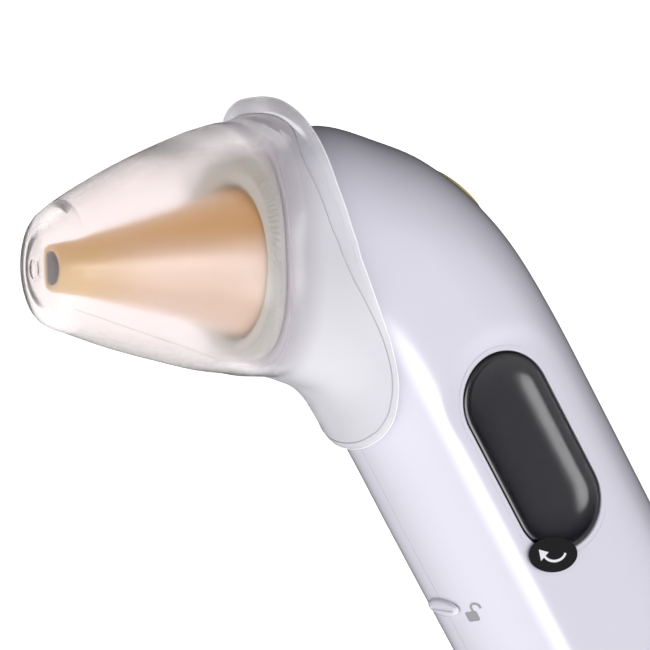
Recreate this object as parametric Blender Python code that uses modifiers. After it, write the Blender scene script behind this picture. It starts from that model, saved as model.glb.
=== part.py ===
"""Digital ear thermometer: a bent handle with a display, an infrared probe and a clip-on cap.

All dimensions are millimetres and meshes are made in metres. The handle stands on its flat foot
at the origin with +Z up. The probe leaves the head towards -X and up, the display is on the -Y
side, the button is on the outer bend (+X) and the battery door is on the front (-X).

Points of the head are given in the probe's own frame: s runs back along the probe axis from the
rim ring, and h is the height above that axis in the plane y = 0.
"""
import math

import bmesh
import bpy
from mathutils import Matrix, Vector

MM = 0.001
GAP = 0.3
# sides of the larger turned pieces
ROUND_SIDES = 28

# probe axis: it leaves the head 28.5 degrees above the horizontal
PROBE_TILT = math.radians(28.5)
PROBE_BACK = Vector((math.cos(PROBE_TILT), 0.0, -math.sin(PROBE_TILT)))
PROBE_UP = Vector((math.sin(PROBE_TILT), 0.0, math.cos(PROBE_TILT)))
RING_CENTRE = Vector((-18.9, 0.0, 130.7))

# case
WALL = 1.6
SECTION_POWER = 2.6
SECTION_POINTS = 28
NOSE_S = 0.8
NOSE_WALL = 1.8
SEAM = GAP / 2
FOOT_SEAM_Y = 8.0
FOOT_SEAM_Z = 3.2

# cap
CAP_WALL = 1.1
CAP_CLEARANCE = 0.5
CAP_POINTS = 32
CAP_TIP_S = -28.9

# display window, a stadium on the -Y side
WINDOW_X = 0.8
WINDOW_Z = 89.5
WINDOW_HALF_WIDTH = 6.65
WINDOW_HALF_LENGTH = 14.4
LENS_RIM_Y = -12.1
LENS_FLOOR_Y = -10.8
LENS_FLANGE_Y = -11.0
POCKET_Y = -11.3
FILM_Y = -12.42
TAB_X = -4.3
TAB_Z = 76.7
TAB_LONG = 3.7
TAB_SHORT = 2.6
TAB_TURN = math.radians(-31.0)
FILM_THICK = 0.2
TAB_POINTS = 24

# flat panel around the window: its plane, its sides and the middle and radius of its arched top
PANEL_Y = -12.12
PANEL_LEFT_X = -10.0
PANEL_RIGHT_X = 11.0
PANEL_TOP_Z = 96.5
PANEL_TOP_RADIUS = 10.0
PANEL_ARCH_STEPS = 12

# inner radius of the ribbed band round the probe's foot
RIB_INNER_RADIUS = 10.6

# button on the outer bend
BUTTON_POINT = Vector((12.9, 0.0, 122.2))
BUTTON_TILT = math.radians(26.0)
BUTTON_AXIS = Vector((math.cos(BUTTON_TILT), 0.0, math.sin(BUTTON_TILT)))
BUTTON_RADIUS = 5.0

# battery door and its lock
DOOR_BOTTOM_Z = 12.0
DOOR_TOP_Z = 66.0
DOOR_HALF_WIDTH = 8.5
DOOR_BACK_X = -9.0
LOCK_FACE_X = -16.0
LOCK_Z = 74.6
LOCK_TRAVEL = 2.5
LOCK_STEM_Y = 1.6
LOCK_STEM_Z = 1.0
LOCK_POINTS = 24

# cells
CELL_RADIUS = 5.15
CELL_X = -5.0
CELL_Y = 5.35
CELL_LENGTH = 44.3
CELL_NUB = 0.9
LEAD_RADIUS = 0.5

# main board
BOARD_Y = -4.9
BOARD_THICK = 1.0
BOARD_BACK_Y = BOARD_Y + BOARD_THICK

# (x, z, y of the head's underside) of the four case screws
SCREW_PLACES = ((10.0, 12.0, 8.6), (10.0, 57.5, 8.6), (9.3, 111.0, 8.6), (-10.8, 103.5, 7.4))


# ---------------------------------------------------------------- scene and materials

def start():
    for item in list(bpy.data.objects):
        bpy.data.objects.remove(item, do_unlink=True)
    scene = bpy.context.scene
    parts = bpy.data.collections.new("ear_thermometer")
    cutters = bpy.data.collections.new("cutters")
    scene.collection.children.link(parts)
    scene.collection.children.link(cutters)
    return parts, cutters


PARTS, CUTTERS = start()


def finish(obj, colour, roughness, metallic=0.0, alpha=1.0):
    """Give an object a Principled material of its own."""
    material = bpy.data.materials.new(obj.name + "_finish")
    material.use_nodes = True
    shader = material.node_tree.nodes["Principled BSDF"]
    shader.inputs["Base Color"].default_value = (*colour, 1.0)
    shader.inputs["Roughness"].default_value = roughness
    shader.inputs["Metallic"].default_value = metallic
    shader.inputs["Alpha"].default_value = alpha
    obj.data.materials.clear()
    obj.data.materials.append(material)
    return obj


def add_object(name, mesh, cutter=False):
    obj = bpy.data.objects.new(name, mesh)
    (CUTTERS if cutter else PARTS).objects.link(obj)
    if cutter:
        obj.hide_render = True
        obj.display_type = "WIRE"
    return obj


def from_bmesh(name, bm, cutter=False, smooth=True):
    bmesh.ops.scale(bm, vec=(MM, MM, MM), verts=bm.verts)
    mesh = bpy.data.meshes.new(name)
    bm.to_mesh(mesh)
    bm.free()
    if smooth:
        mesh.shade_smooth()
        mesh.set_sharp_from_angle(angle=math.radians(35.0))
    return add_object(name, mesh, cutter)


# ---------------------------------------------------------------- modelling helpers

def axis_matrix(origin, axis):
    """A frame at origin whose local Z is axis and whose local Y is the world's Y."""
    z = Vector(axis).normalized()
    y = Vector((0.0, 1.0, 0.0))
    if abs(z.y) > 0.9:
        y = Vector((0.0, 0.0, 1.0))
    x = y.cross(z).normalized()
    y = z.cross(x)
    turn = Matrix((x, y, z)).transposed().to_4x4()
    return Matrix.Translation(Vector(origin) * MM) @ turn


def turned(name, profile, origin, axis, sides=24, cutter=False):
    """A turned piece: profile (radius, height) runs down the outer side and back up inside."""
    bm = bmesh.new()
    verts = [bm.verts.new((r, 0.0, t)) for r, t in profile]
    closed = profile[0][0] > 0.0
    pairs = list(zip(verts, verts[1:]))
    if closed:
        pairs.append((verts[-1], verts[0]))
    for a, b in pairs:
        bm.edges.new((a, b))
    obj = from_bmesh(name, bm, cutter, smooth=False)
    obj.matrix_world = axis_matrix(origin, axis)
    screw = obj.modifiers.new("turn", "SCREW")
    screw.axis = "Z"
    screw.angle = math.tau
    screw.steps = sides
    screw.render_steps = sides
    screw.use_merge_vertices = True
    screw.merge_threshold = 0.00001
    screw.use_smooth_shade = True
    return obj


def box(name, low, high, cutter=False, bevel=0.0):
    bm = bmesh.new()
    size = Vector(high) - Vector(low)
    middle = (Vector(high) + Vector(low)) / 2
    bmesh.ops.create_cube(bm, size=1.0)
    bmesh.ops.scale(bm, vec=size, verts=bm.verts)
    bmesh.ops.translate(bm, vec=middle, verts=bm.verts)
    obj = from_bmesh(name, bm, cutter, smooth=False)
    if bevel:
        rounding = obj.modifiers.new("edges", "BEVEL")
        rounding.width = bevel * MM
        rounding.segments = 2
    return obj


def loft(rings, close_start=True, close_end=True):
    """Skin a run of rings with equal numbers of points, closing its ends with flat faces."""
    bm = bmesh.new()
    rows = [[bm.verts.new(p) for p in ring] for ring in rings]
    count = len(rows[0])
    for row, after in zip(rows, rows[1:]):
        for i in range(count):
            j = (i + 1) % count
            bm.faces.new((row[i], row[j], after[j], after[i]))
    if close_start:
        bm.faces.new(rows[0])
    if close_end:
        bm.faces.new(reversed(rows[-1]))
    bmesh.ops.recalc_face_normals(bm, faces=bm.faces)
    return bm


def prism(name, outline, y_low, y_high, cutter=False):
    """A flat outline of (x, z) points, extruded along Y."""
    rings = [[(x, y, z) for x, z in outline] for y in (y_low, y_high)]
    return from_bmesh(name, loft(rings), cutter, smooth=False)


def stadium(half_width, half_length, steps=8):
    """The (x, z) outline of the window's shape at a given half width and half length."""
    points = []
    for end in (1.0, -1.0):
        for i in range(steps + 1):
            angle = math.pi * i / steps + (0.0 if end > 0 else math.pi)
            x = WINDOW_X + half_width * math.cos(angle)
            z = WINDOW_Z + end * (half_length - half_width) + half_width * math.sin(angle)
            points.append((x, z))
    return points


def stadium_stack(name, layers, cutter=False):
    """A piece of stadium outlines, one for each (y, half width, half length)."""
    rings = [[(x, y, z) for x, z in stadium(w, l)] for y, w, l in layers]
    return from_bmesh(name, loft(rings), cutter)


def wire(name, points, radius):
    """A round wire through points, welded into one mesh."""
    data = bpy.data.curves.new(name, "CURVE")
    data.dimensions = "3D"
    data.bevel_depth = radius * MM
    data.bevel_resolution = 1
    data.use_fill_caps = True
    spline = data.splines.new("POLY")
    spline.points.add(len(points) - 1)
    for item, point in zip(spline.points, points):
        item.co = (*(Vector(point) * MM), 1.0)
    return add_object(name, data)


def through(points, steps=2):
    """More points along a smooth run (Catmull-Rom) through the given ones."""
    run = [Vector(p) for p in points]
    run = [2 * run[0] - run[1]] + run + [2 * run[-1] - run[-2]]
    out = []
    for a, b, c, d in zip(run, run[1:], run[2:], run[3:]):
        for i in range(steps):
            t = i / steps
            out.append(0.5 * (2 * b + (c - a) * t + (2 * a - 5 * b + 4 * c - d) * t * t
                              + (3 * b - a - 3 * c + d) * t ** 3))
    return out + [run[-2]]


def boolean(obj, cutter, operation="DIFFERENCE"):
    step = obj.modifiers.new(operation.lower(), "BOOLEAN")
    step.operation = operation
    step.solver = "EXACT"
    step.object = cutter
    return obj


def probe_point(s, h, y=0.0):
    return RING_CENTRE + PROBE_BACK * s + PROBE_UP * h + Vector((0.0, y, 0.0))


def probe_turned(name, profile, sides=24, cutter=False):
    """A piece turned about the probe axis; heights run forward, out of the probe's tip."""
    return turned(name, profile, RING_CENTRE, -PROBE_BACK, sides, cutter)


# ---------------------------------------------------------------- case surface

def plane_point(x, z):
    return Vector((x, 0.0, z))


# (outer point, inner point, half width) of the sections from the handle up to the nose
SECTIONS = (
    (plane_point(16.0, 3.0), plane_point(-15.7, 3.0), 12.9),
    (plane_point(16.4, 34.0), plane_point(-15.9, 34.0), 13.0),
    (plane_point(16.6, 64.0), plane_point(-16.0, 64.0), 13.1),
    (plane_point(16.65, 91.0), plane_point(-16.0, 87.0), 13.15),
    (plane_point(16.4, 104.0), plane_point(-15.9, 95.0), 13.2),
    (plane_point(15.3, 114.0), plane_point(-15.9, 100.5), 13.3),
    (plane_point(12.9, 122.2), plane_point(-16.0, 105.0), 13.4),
    (plane_point(9.3, 129.6), plane_point(-16.3, 108.7), 13.5),
    (plane_point(4.9, 135.1), plane_point(-17.4, 111.6), 13.5),
    (probe_point(12.0, 17.4), plane_point(-19.3, 114.0), 13.5),
    (probe_point(6.8, 16.8), probe_point(4.6, -13.9), 13.5),
    (probe_point(2.6, 15.9), probe_point(2.4, -13.7), 13.4),
    (probe_point(NOSE_S, 15.2), probe_point(NOSE_S, -13.6), 13.2),
)
NOSE = len(SECTIONS) - 1


def knots():
    """Distance along the case at each section, measured on its middle line."""
    middles = [(outer + inner) / 2 for outer, inner, _ in SECTIONS]
    out = [0.0]
    for a, b in zip(middles, middles[1:]):
        out.append(out[-1] + (b - a).length)
    return out


KNOTS = knots()


def smooth_value(values, index, t):
    """Cubic between sections index and index + 1, with slopes from their neighbours."""
    def slope(i):
        low = max(i - 1, 0)
        high = min(i + 1, len(values) - 1)
        return (values[high] - values[low]) / (KNOTS[high] - KNOTS[low])
    span = KNOTS[index + 1] - KNOTS[index]
    a = values[index]
    b = values[index + 1]
    m = slope(index) * span
    n = slope(index + 1) * span
    return (a * (2 * t ** 3 - 3 * t ** 2 + 1) + m * (t ** 3 - 2 * t ** 2 + t)
            + b * (3 * t ** 2 - 2 * t ** 3) + n * (t ** 3 - t ** 2))


def section_at(u):
    """Outer point, inner point and half width at section number u, which may be a fraction."""
    index = min(int(u), NOSE - 1)
    t = u - index
    outer = smooth_value([s[0] for s in SECTIONS], index, t)
    inner = smooth_value([s[1] for s in SECTIONS], index, t)
    width = smooth_value([s[2] for s in SECTIONS], index, t)
    return outer, inner, width


def case_point(u, angle, out=0.0):
    """A point of the case, out mm outside it. Angle 0 is the back and pi is the front."""
    outer, inner, width = section_at(u)
    middle = (outer + inner) / 2
    reach = (outer - inner) / 2
    depth = reach.length + out
    power = 2.0 / SECTION_POWER
    c = math.cos(angle)
    s = math.sin(angle)
    along = math.copysign(abs(c) ** power, c) * depth
    across = math.copysign(abs(s) ** power, s) * (width + out)
    return middle + reach.normalized() * along + Vector((0.0, across, 0.0))


def case_ring(u, out=0.0, shift=None):
    ring = [case_point(u, math.tau * i / SECTION_POINTS, out) for i in range(SECTION_POINTS)]
    if shift:
        ring = [p + shift for p in ring]
    return ring


def case_solid(name, out, cutter=True):
    """The whole case as one solid. A negative out makes the hollow inside its walls."""
    def level(inset, z):
        return [Vector((p.x, p.y, z)) for p in case_ring(0.0, out - inset)]
    if out < 0:
        rings = [level(1.0, 0.2 - out), level(0.0, 1.4 - out)]
        stations = [0.5, 1, 2, 3, 4, 4.5, 5, 5.5, 6, 6.5, 7, 7.5, 8, 8.5, 9, 10]
    else:
        rings = [level(1.6, 0.0), level(0.7, 0.5), level(0.2, 1.4)]
        stations = [0, 1, 2, 3, 4, 4.5, 5, 5.5, 6, 6.5, 7, 7.5, 8, 8.5, 9, 9.5, 10, 11, 11.6]
    rings += [case_ring(u, out) for u in stations]
    if out < 0:
        rings.append(case_ring(NOSE, out, PROBE_BACK * NOSE_WALL))
    else:
        rings.append(case_ring(NOSE, out - 0.7))
    return from_bmesh(name, loft(rings), cutter)


def side_prism(name, grow):
    """Everything that belongs to the display side shell: y < 0, and most of the foot."""
    reach = 40.0
    top = 170.0
    low = -5.0
    step_y = FOOT_SEAM_Y + SEAM + grow
    step_z = FOOT_SEAM_Z + SEAM + grow
    wall_y = grow - SEAM
    outline = ((-reach, low), (step_y, low), (step_y, step_z), (wall_y, step_z), (wall_y, top), (-reach, top))
    rings = [[(x, y, z) for y, z in outline] for x in (-60.0, 60.0)]
    return from_bmesh(name, loft(rings), cutter=True, smooth=False)


# ---------------------------------------------------------------- case shells

def boss_set(name, radius, y_low, y_high, from_head=False):
    """One cutter of four cylinders along Y, which may start at the screw heads' undersides."""
    bm = bmesh.new()
    for x, z, head_y in SCREW_PLACES:
        low = head_y + y_low if from_head else y_low
        middle = Vector((x, (low + y_high) / 2, z))
        place = Matrix.Translation(middle) @ Matrix.Rotation(math.pi / 2, 4, "X")
        bmesh.ops.create_cone(bm, cap_ends=True, segments=16, radius1=radius, radius2=radius,
                              depth=y_high - low, matrix=place)
    return from_bmesh(name, bm, cutter=True)


def build_shells():
    hollow = case_solid("case_hollow", -WALL)
    near_side = side_prism("near_side", 0.0)
    near_side_grown = side_prism("near_side_grown", GAP)
    core = case_solid("case_core", -0.5)
    near_bosses = boolean(boss_set("near_bosses", 2.7, -14.0, -0.2), core, "INTERSECT")
    far_bosses = boolean(boss_set("far_bosses", 3.0, 0.4, 14.0), core, "INTERSECT")
    pilot_holes = boss_set("pilot_holes", 1.35, -7.0, 9.0)
    counterbores = boss_set("counterbores", 2.2, -0.3, 16.0, from_head=True)
    nose_profile = [(0.0, 3.0), (10.3, 3.0), (10.3, -6.0), (0.0, -6.0)]
    nose_hole = probe_turned("nose_hole", nose_profile, ROUND_SIDES, True)
    button_hole = turned("button_hole", [(0.0, 6.0), (6.5, 6.0), (6.5, -5.0), (0.0, -5.0)],
                         BUTTON_POINT, BUTTON_AXIS, ROUND_SIDES, True)
    door_hole = box("door_hole", (-30.0, -DOOR_HALF_WIDTH - GAP, DOOR_BOTTOM_Z - GAP),
                    (DOOR_BACK_X, DOOR_HALF_WIDTH + GAP, DOOR_TOP_Z + GAP), True)
    lock_slot = box("lock_slot", (-30.0, -LOCK_STEM_Y - GAP - LOCK_TRAVEL, LOCK_Z - LOCK_STEM_Z - GAP),
                    (DOOR_BACK_X, LOCK_STEM_Y + GAP, LOCK_Z + LOCK_STEM_Z + GAP), True)
    hole_width = WINDOW_HALF_WIDTH + GAP
    hole_length = WINDOW_HALF_LENGTH + GAP
    hole_layers = [(-20.0, hole_width, hole_length), (-9.0, hole_width, hole_length)]
    window = stadium_stack("window_hole", hole_layers, True)
    pocket = stadium_stack("lens_pocket", [(POCKET_Y, 8.2, 16.0), (-9.0, 8.2, 16.0)], True)

    arch = [(PANEL_RIGHT_X, -5.0)]
    middle_x = (PANEL_LEFT_X + PANEL_RIGHT_X) / 2
    for i in range(PANEL_ARCH_STEPS + 1):
        a = math.pi * i / PANEL_ARCH_STEPS
        arch.append((middle_x + (PANEL_RIGHT_X - middle_x) * math.cos(a), PANEL_TOP_Z + PANEL_TOP_RADIUS * math.sin(a)))
    arch.append((PANEL_LEFT_X, -5.0))
    panel = prism("panel_cut", arch, -20.0, PANEL_Y, True)

    near = case_solid("display_side_shell", 0.0, cutter=False)
    boolean(near, near_side, "INTERSECT")
    boolean(near, hollow)
    boolean(near, near_bosses, "UNION")
    for cutter in (pilot_holes, nose_hole, button_hole, door_hole, lock_slot, panel, window, pocket):
        boolean(near, cutter)
    finish(near, (0.86, 0.86, 0.90), 0.18)

    far = case_solid("plain_side_shell", 0.0, cutter=False)
    boolean(far, near_side_grown)
    boolean(far, hollow)
    boolean(far, far_bosses, "UNION")
    for cutter in (pilot_holes, counterbores, nose_hole, button_hole, door_hole, lock_slot):
        boolean(far, cutter)
    finish(far, (0.86, 0.86, 0.90), 0.18)

    door_region = box("door_region", (-30.0, -DOOR_HALF_WIDTH, DOOR_BOTTOM_Z),
                      (DOOR_BACK_X - GAP, DOOR_HALF_WIDTH, DOOR_TOP_Z), True)
    door = case_solid("battery_door", 0.0, cutter=False)
    boolean(door, door_region, "INTERSECT")
    boolean(door, hollow)
    finish(door, (0.86, 0.86, 0.90), 0.2)


def build_screws():
    for number, (x, z, head_y) in enumerate(SCREW_PLACES, 1):
        profile = [(0.0, 1.3), (1.5, 1.3), (1.9, 0.9), (1.9, 0.0), (1.0, -0.3), (1.0, -12.5), (0.0, -13.2)]
        screw = turned(f"case_screw_{number}", profile, (x, head_y, z), (0.0, 1.0, 0.0), 16)
        finish(screw, (0.35, 0.35, 0.37), 0.35, 1.0)


# ---------------------------------------------------------------- display

def build_display():
    lens = stadium_stack("display_lens", [
        (LENS_FLOOR_Y, WINDOW_HALF_WIDTH - 1.25, WINDOW_HALF_LENGTH - 1.25),
        (LENS_RIM_Y + 0.1, WINDOW_HALF_WIDTH - 0.65, WINDOW_HALF_LENGTH - 0.65),
        (LENS_RIM_Y, WINDOW_HALF_WIDTH - 0.5, WINDOW_HALF_LENGTH - 0.5),
        (LENS_RIM_Y, WINDOW_HALF_WIDTH - 0.2, WINDOW_HALF_LENGTH - 0.2),
        (LENS_RIM_Y + 0.15, WINDOW_HALF_WIDTH, WINDOW_HALF_LENGTH),
        (LENS_FLANGE_Y, WINDOW_HALF_WIDTH, WINDOW_HALF_LENGTH),
        (LENS_FLANGE_Y, 7.85, 15.6),
        (LENS_FLANGE_Y + 0.7, 7.85, 15.6),
    ])
    finish(lens, (0.01, 0.01, 0.012), 0.08)

    gasket = stadium_stack("lens_gasket", [(-10.0, 7.6, 15.3), (-9.5, 7.6, 15.3)])
    boolean(gasket, stadium_stack("gasket_hole", [(-12.0, 6.4, 14.1), (-8.0, 6.4, 14.1)], True))
    finish(gasket, (0.05, 0.05, 0.05), 0.9)

    def window_box(name, half_width, y_low, y_high, z_low, z_high, cutter=False):
        """A box centred on the window in X, with its ends given from the window's middle."""
        return box(name, (WINDOW_X - half_width, y_low, WINDOW_Z + z_low),
                   (WINDOW_X + half_width, y_high, WINDOW_Z + z_high), cutter)

    frame = window_box("lcd_frame", 7.6, -9.2, -5.2, -15.4, 15.4)
    boolean(frame, window_box("lcd_frame_hole", 6.6, -12.0, -4.0, -14.4, 14.4, True))
    finish(frame, (0.8, 0.8, 0.78), 0.5)
    glass = window_box("lcd_glass", 6.3, -9.2, -7.6, -14.1, 14.1)
    finish(glass, (0.35, 0.4, 0.36), 0.1)
    guide = window_box("backlight_guide", 6.3, -7.3, -6.0, -11.8, 11.8)
    finish(guide, (0.9, 0.9, 0.85), 0.3)
    for label, low, high in (("lower", -14.0, -12.2), ("upper", 12.2, 14.0)):
        strip = window_box(f"elastomer_strip_{label}", 6.0, -7.3, -5.2, low, high)
        finish(strip, (0.75, 0.45, 0.5), 0.7)


def build_film():
    """The clear protective film: a thin stadium with an oval pull tab over its lower corner."""
    half_width = WINDOW_HALF_WIDTH - GAP
    half_length = WINDOW_HALF_LENGTH - GAP
    film = stadium_stack("protective_film", [(FILM_Y, half_width, half_length),
                                             (FILM_Y - FILM_THICK, half_width, half_length)])
    outline = []
    for i in range(TAB_POINTS):
        a = math.tau * i / TAB_POINTS
        along = TAB_LONG * math.cos(a)
        across = TAB_SHORT * math.sin(a)
        outline.append((TAB_X + along * math.cos(TAB_TURN) - across * math.sin(TAB_TURN),
                        TAB_Z + along * math.sin(TAB_TURN) + across * math.cos(TAB_TURN)))
    boolean(film, prism("film_tab", outline, FILM_Y - FILM_THICK, FILM_Y, True), "UNION")
    finish(film, (0.03, 0.03, 0.03), 0.3)


# ---------------------------------------------------------------- electronics

def build_board():
    outline = ((-12.2, 64.5), (12.2, 64.5), (12.2, 105.5), (5.8, 105.5), (5.8, 108.5), (-8.0, 108.5),
               (-8.0, 100.5), (-12.2, 100.5))
    board = prism("main_board", outline, BOARD_Y, BOARD_BACK_Y)
    finish(board, (0.02, 0.25, 0.09), 0.4)
    chip_y = BOARD_BACK_Y + GAP
    chip = box("microcontroller", (-1.5, chip_y, 80.5), (5.5, chip_y + 1.2, 87.5), bevel=0.15)
    finish(chip, (0.02, 0.02, 0.02), 0.45)
    profile = [(0.0, 3.0), (0.8, 3.0), (0.8, 2.4), (5.6, 2.4), (6.0, 2.0), (6.0, 0.0), (0.0, 0.0)]
    buzzer = turned("buzzer", profile, (2.5, chip_y, 97.0), (0.0, 1.0, 0.0), ROUND_SIDES)
    finish(buzzer, (0.03, 0.03, 0.03), 0.4)


def button_turned(name, profile, sides=24, cutter=False):
    return turned(name, profile, BUTTON_POINT, BUTTON_AXIS, sides, cutter)


def button_box(name, half_x, half_y, low, high, cutter=False):
    """A box centred on the button axis between two heights along it."""
    obj = box(name, (-half_x, -half_y, low), (half_x, half_y, high), cutter)
    obj.matrix_world = axis_matrix(BUTTON_POINT, BUTTON_AXIS)
    return obj


def build_button():
    ring_profile = [(5.55, 0.55), (5.95, 0.5), (6.2, 0.15), (6.2, -2.2), (5.35, -2.2), (5.35, 0.35)]
    ring = button_turned("button_ring", ring_profile)
    finish(ring, (0.6, 0.6, 0.6), 0.3, 0.8)
    crown = []
    for i in range(5):
        a = math.pi / 2 * i / 4
        crown.append((BUTTON_RADIUS * math.sin(a), 1.25 - 0.8 * (1 - math.cos(a))))
    skirt = [(BUTTON_RADIUS, -2.6), (5.9, -2.6), (5.9, -3.3), (1.5, -3.3), (1.5, -4.5), (0.0, -4.5)]
    cap = button_turned("button_cap", crown + skirt)
    finish(cap, (0.85, 0.5, 0.12), 0.25)
    switch = button_box("switch_body", 3.0, 3.0, -9.2, -5.9)
    well = button_turned("switch_well", [(0.0, -5.0), (2.0, -5.0), (2.0, -7.6), (0.0, -7.6)], cutter=True)
    boolean(switch, well)
    finish(switch, (0.05, 0.05, 0.05), 0.5)
    stem = [(0.0, -4.8), (1.5, -4.8), (1.65, -5.0), (1.65, -6.8), (0.0, -6.8)]
    plunger = button_turned("switch_plunger", stem, 20)
    finish(plunger, (0.1, 0.1, 0.1), 0.5)
    carrier = button_box("switch_board", 4.5, 6.0, -10.5, -9.5)
    finish(carrier, (0.02, 0.25, 0.09), 0.4)


# ---------------------------------------------------------------- probe

def build_ribbed_ring():
    """The band round the probe's foot: round inside, and following the nose's oval outside."""
    angles = [math.tau * i / SECTION_POINTS for i in range(SECTION_POINTS)]

    def inner(s):
        return [probe_point(s, RIB_INNER_RADIUS * math.cos(a), RIB_INNER_RADIUS * math.sin(a)) for a in angles]

    def outer(inset, s):
        return case_ring(NOSE, -inset, PROBE_BACK * (s - NOSE_S))
    rows = (inner(-1.1), outer(1.6, -0.6), outer(0.9, 0.1), outer(0.9, 0.5), inner(0.5))
    bm = bmesh.new()
    skins = [[bm.verts.new(p) for p in row] for row in rows]
    for row, after in zip(skins, skins[1:] + skins[:1]):
        for i in range(SECTION_POINTS):
            j = (i + 1) % SECTION_POINTS
            bm.faces.new((row[i], row[j], after[j], after[i]))
    bmesh.ops.recalc_face_normals(bm, faces=bm.faces)
    return from_bmesh("ribbed_ring", bm)


def build_probe():
    outer = ((3.1, 25.8), (3.45, 25.5), (3.5, 24.8), (4.05, 19.5), (5.1, 12.7), (6.4, 8.8), (8.1, 5.0),
             (9.5, 1.8), (10.0, 0.4), (10.0, -3.9), (11.5, -3.9), (11.5, -5.1))
    inner = ((9.0, -5.1), (9.0, -0.4), (8.5, 1.4), (7.2, 4.4), (5.5, 8.4), (4.2, 12.7), (3.3, 19.5),
             (2.8, 24.3), (2.5, 24.6), (2.5, 25.8))
    cone = probe_turned("probe_cone", outer + inner, ROUND_SIDES)
    finish(cone, (0.9, 0.5, 0.12), 0.3)
    window = probe_turned("probe_window", [(0.0, 25.4), (2.2, 25.4), (2.2, 24.9), (0.0, 24.9)], 24)
    finish(window, (0.05, 0.04, 0.04), 0.1)
    guide = probe_turned("waveguide", [(2.2, 24.5), (2.2, 13.3), (1.8, 13.3), (1.8, 24.5)], 20)
    finish(guide, (0.9, 0.65, 0.25), 0.15, 1.0)
    can_profile = [(0.0, 13.0), (2.2, 13.0), (2.3, 12.9), (2.3, 10.6), (2.8, 10.4), (2.8, 9.9), (0.0, 9.9)]
    can = probe_turned("thermopile", can_profile, 20)
    finish(can, (0.75, 0.7, 0.6), 0.25, 1.0)
    block_profile = [(3.6, 13.9), (3.7, 13.8), (3.7, 6.2), (1.0, 6.2), (1.0, 9.6), (3.1, 9.6), (3.1, 13.9)]
    block = probe_turned("sensor_block", block_profile)
    finish(block, (0.7, 0.7, 0.72), 0.3, 1.0)
    seal = []
    for i in range(8):
        a = math.pi / 2 - math.tau * i / 8
        seal.append((10.8 + 0.45 * math.cos(a), -3.15 + 0.45 * math.sin(a)))
    finish(probe_turned("probe_gasket", seal, 20), (0.03, 0.03, 0.03), 0.8)
    nut = probe_turned("probe_nut", [(8.6, -5.4), (11.4, -5.4), (11.4, -8.2), (8.6, -8.2)])
    finish(nut, (0.85, 0.85, 0.85), 0.5)
    finish(build_ribbed_ring(), (0.75, 0.8, 0.76), 0.35)


# the flex turns its flat side from the probe's to the board's between these points of its path
FLEX_TURN_START = 7
FLEX_TURN_LENGTH = 5.0


def build_sensor_flex():
    """A flat flex that leaves the sensor block along the probe axis and drops to the main board."""
    run = [probe_point(-5.8, 0.0), probe_point(0.0, 0.0), probe_point(8.0, 0.0), probe_point(13.5, -2.0, 0.4),
           Vector((-6.5, -1.4, 113.0)), Vector((-6.2, -3.2, 108.2)), Vector((-6.2, -3.35, 104.5))]
    path = through(run, 3)
    rings = []
    for i, point in enumerate(path):
        ahead = path[min(i + 1, len(path) - 1)] - path[max(i - 1, 0)]
        turn = min(max((i - FLEX_TURN_START) / FLEX_TURN_LENGTH, 0.0), 1.0)
        side = Vector((turn, 1.0 - turn, 0.0)).normalized()
        side = (side - ahead * (side.dot(ahead) / ahead.length_squared)).normalized()
        thick = ahead.cross(side).normalized() * 0.12
        wide = side * 1.6
        rings.append([point + wide + thick, point - wide + thick, point - wide - thick, point + wide - thick])
    flex = from_bmesh("sensor_flex", loft(rings))
    finish(flex, (0.75, 0.4, 0.08), 0.35)


# ---------------------------------------------------------------- cells

def build_cells():
    tray = box("battery_tray", (CELL_X - 3.0, -9.4, 10.3), (CELL_X + 6.7, 9.4, 63.2))
    boolean(tray, box("tray_hollow", (-20.0, -20.0, 11.5), (CELL_X + 5.5, 20.0, 62.0), True))
    finish(tray, (0.15, 0.15, 0.16), 0.6)

    shoulder = CELL_LENGTH - CELL_NUB
    profile = [(0.0, CELL_LENGTH), (1.9, CELL_LENGTH), (1.9, shoulder), (CELL_RADIUS - 0.3, shoulder),
               (CELL_RADIUS, shoulder - 0.3), (CELL_RADIUS, 0.3), (CELL_RADIUS - 0.3, 0.0), (0.0, 0.0)]
    for label, side, bottom, up in (("left", -1.0, 16.3, 1.0), ("right", 1.0, 12.7, -1.0)):
        foot = Vector((CELL_X, side * CELL_Y, bottom if up > 0 else bottom + CELL_LENGTH))
        cell = turned(f"cell_{label}", profile, foot, (0.0, 0.0, up), ROUND_SIDES)
        finish(cell, (0.12, 0.13, 0.16), 0.3, 0.6)

    bridge = box("bridge_contact", (CELL_X - 2.9, -9.0, 11.8), (CELL_X + 2.9, 9.0, 12.2))
    finish(bridge, (0.75, 0.72, 0.65), 0.3, 1.0)
    for label, side in (("positive", -1.0), ("negative", 1.0)):
        plate = box(f"contact_{label}", (CELL_X - 2.9, side * CELL_Y - 3.4, 61.2),
                    (CELL_X + 2.9, side * CELL_Y + 3.4, 61.6))
        finish(plate, (0.75, 0.72, 0.65), 0.3, 1.0)
    for label, side, low, high in (("lower", -1.0, 12.9, 15.6), ("upper", 1.0, 57.7, 60.5)):
        finish(build_spring(f"contact_spring_{label}", side * CELL_Y, low, high), (0.75, 0.72, 0.65), 0.3, 1.0)


def build_spring(name, y, low, high):
    """A conical contact spring, wide at the contact plate end."""
    turns = 3.0
    count = 27
    wide_low = low < 30.0
    points = []
    for i in range(count + 1):
        t = i / count
        radius = 3.4 - 1.4 * (t if wide_low else 1.0 - t)
        angle = math.tau * turns * t
        points.append((CELL_X + radius * math.cos(angle), y + radius * math.sin(angle), low + (high - low) * t))
    return wire(name, points, 0.28)


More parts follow.
